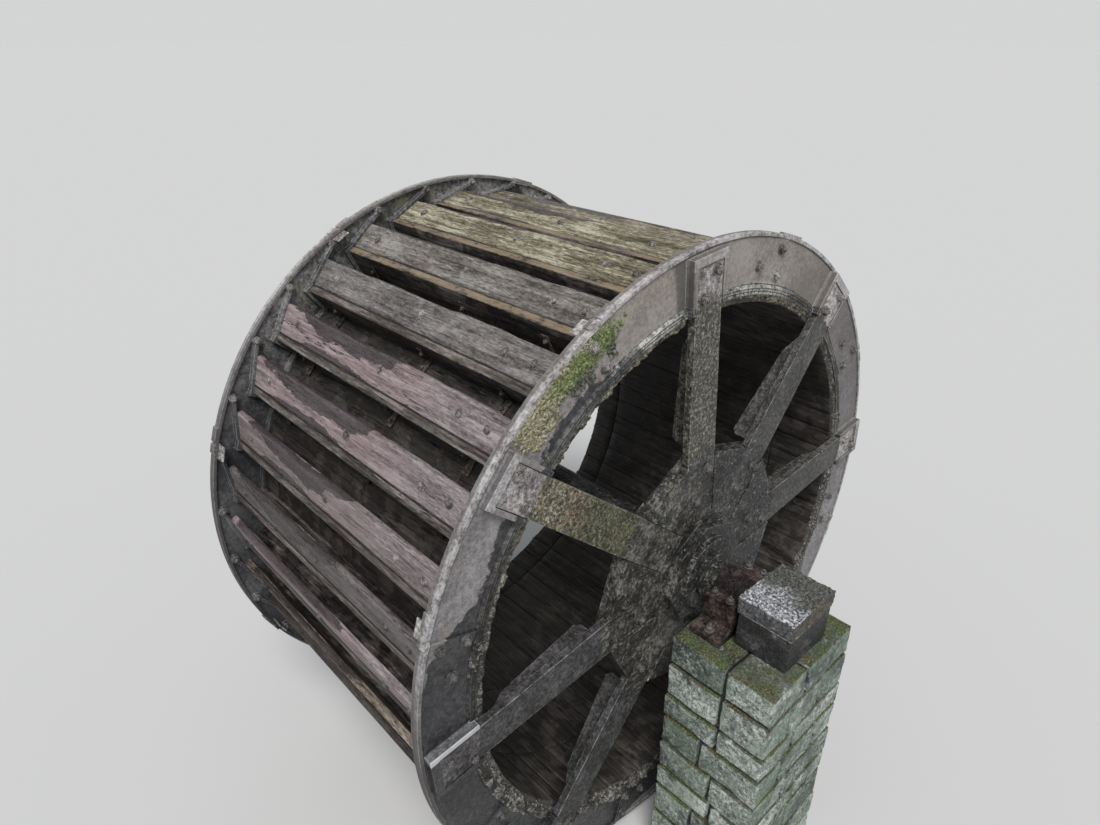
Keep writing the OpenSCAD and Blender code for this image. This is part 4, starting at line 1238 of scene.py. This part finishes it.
def build_outer(quarter):
    mesh = bmesh.new()
    chance = random.Random(70 + quarter)
    for k in range(quarter * 8, quarter * 8 + 8):
        seed = chance.random() * 30
        worn = worn_board(seed, 0.0012, 0.016, 0.003)

        def shape(point, outward, worn=worn, seed=seed):
            moved = worn(point, outward)
            at_tip = max(0.0, -outward.x)
            hollow = max(0.0, noise.noise(Vector((seed, 1.7, point.z * 3.1))) - 0.12) * 0.030 * at_tip
            splinter = max(0.0, noise.noise(Vector((seed * 2, 5.1, point.z * 21))) - 0.2) * 0.010 * at_tip
            share = 0.5 + point.x / BOARD_W
            bevel = (BOARD_T / 2 - point.y) * math.tan(BOARD_SLOPE) * max(0.0, share) ** 3
            return Vector((moved.x + hollow + splinter + bevel, moved.y, moved.z))

        place = outer_place(k) @ Matrix.Translation((BOARD_W / 2, -BOARD_T / 2, 0))
        add_block(mesh, (BOARD_W / 2, BOARD_T / 2, PLANK_HALF_L), OUTER_EDGE, OUTER_STEPS, shape, place,
                  board_tags(mesh, k, Vector((BOARD_W / 2, 0, 0)), board_age(k), board_wet(k)))
    return mesh


finish_quarters("outer_planks", build_outer, outer_wood, "outer_boards")

# Coach bolts: domed iron heads on round washers, a row of four along the middle of each outer board,
# driven in from its face and as rusty as the other bolts.
BOARD_BOLTS_Y = (-0.90, -0.69, 0.0, 0.90)
chance = random.Random(81)
spots = []
for k in range(BUCKET_COUNT):
    place = outer_place(k)
    axis = (place.to_3x3() @ Vector((0, 1, 0))).normalized()
    for y in BOARD_BOLTS_Y:
        along = Vector((BOARD_W / 2 + chance.uniform(-0.008, 0.008), 0.0005, y + chance.uniform(-0.01, 0.01)))
        spots.append((place @ along, axis, chance.random() * 6, chance.uniform(0.9, 1.1)))
add_bolts("board_bolts", spots, "wheel", "outer_board_wood", bolt_iron, washer_radius=0.026,
          washer_height=0.003, nut_radius=0.017, nut_height=0.007, nut_sides=14, end_radius=0.010,
          end_height=0.004)

# Straps: bent flat iron bars, three to a bucket, each with one leg bolted to the floor board and one to
# the sole. They are black with wet rust.
STRAP_W, STRAP_T, STRAP_UP, STRAP_OUT = 0.046, 0.008, 0.115, 0.095
STRAP_EDGE, STRAP_ASIDE, SOLE_LIFT = 0.002, 0.035, SOLE_FACE + 0.003
STRAP_BOLT_UP, STRAP_BOLT_OUT, STRAP_BOLT_SIZE = 0.68, 0.66, 0.6

strap_iron, place, skin, edge = new_iron("strap_iron", 0.8, 0.003)
color = tone_color(skin["Tone"], (0.016, 0.014, 0.013), (0.058, 0.047, 0.042), (0.17, 0.14, 0.12))
color = lay(color, (0.26, 0.23, 0.21), edge["Mask"], 0.4)
finish_material(color, ramp(skin["Tone"], 0.3, 0.7, 0.45, 0.8), skin["Height"], 1, 0.004, edge["Normal"])
chance = random.Random(91)
mesh = bmesh.new()
spots = []
for k in range(BUCKET_COUNT):
    here = wheel_frame(ELBOW_START + BUCKET_STEP * k)
    for y in JOINTS_Y:
        z = -y + STRAP_ASIDE
        rough = rough_stone(chance.random() * 20, 0.001, 0.0006)
        add_block(mesh, (STRAP_UP / 2, STRAP_T / 2, STRAP_W / 2), STRAP_EDGE, (0.03, 0.01, 0.02), rough,
                  here @ Matrix.Translation((SOLE_FACE + STRAP_UP / 2, FLOOR_T + STRAP_T / 2, z)))
        add_block(mesh, (STRAP_T / 2, STRAP_OUT / 2, STRAP_W / 2), STRAP_EDGE, (0.01, 0.03, 0.02), rough,
                  here @ Matrix.Translation((SOLE_LIFT + STRAP_T / 2, FLOOR_T + STRAP_OUT / 2, z)))
        for bolt_at, axis in (((SOLE_FACE + STRAP_UP * STRAP_BOLT_UP, FLOOR_T + STRAP_T, z), (0, 1, 0)),
                              ((SOLE_LIFT + STRAP_T, FLOOR_T + STRAP_OUT * STRAP_BOLT_OUT, z), (1, 0, 0))):
            spots.append((here @ Vector(bolt_at), here.to_3x3() @ Vector(axis), chance.random() * 6,
                          STRAP_BOLT_SIZE))
finish_piece("floor_straps", mesh, [strap_iron], "wheel")
add_bolts("strap_bolts", spots, "wheel", "floor_board_wood", strap_iron)
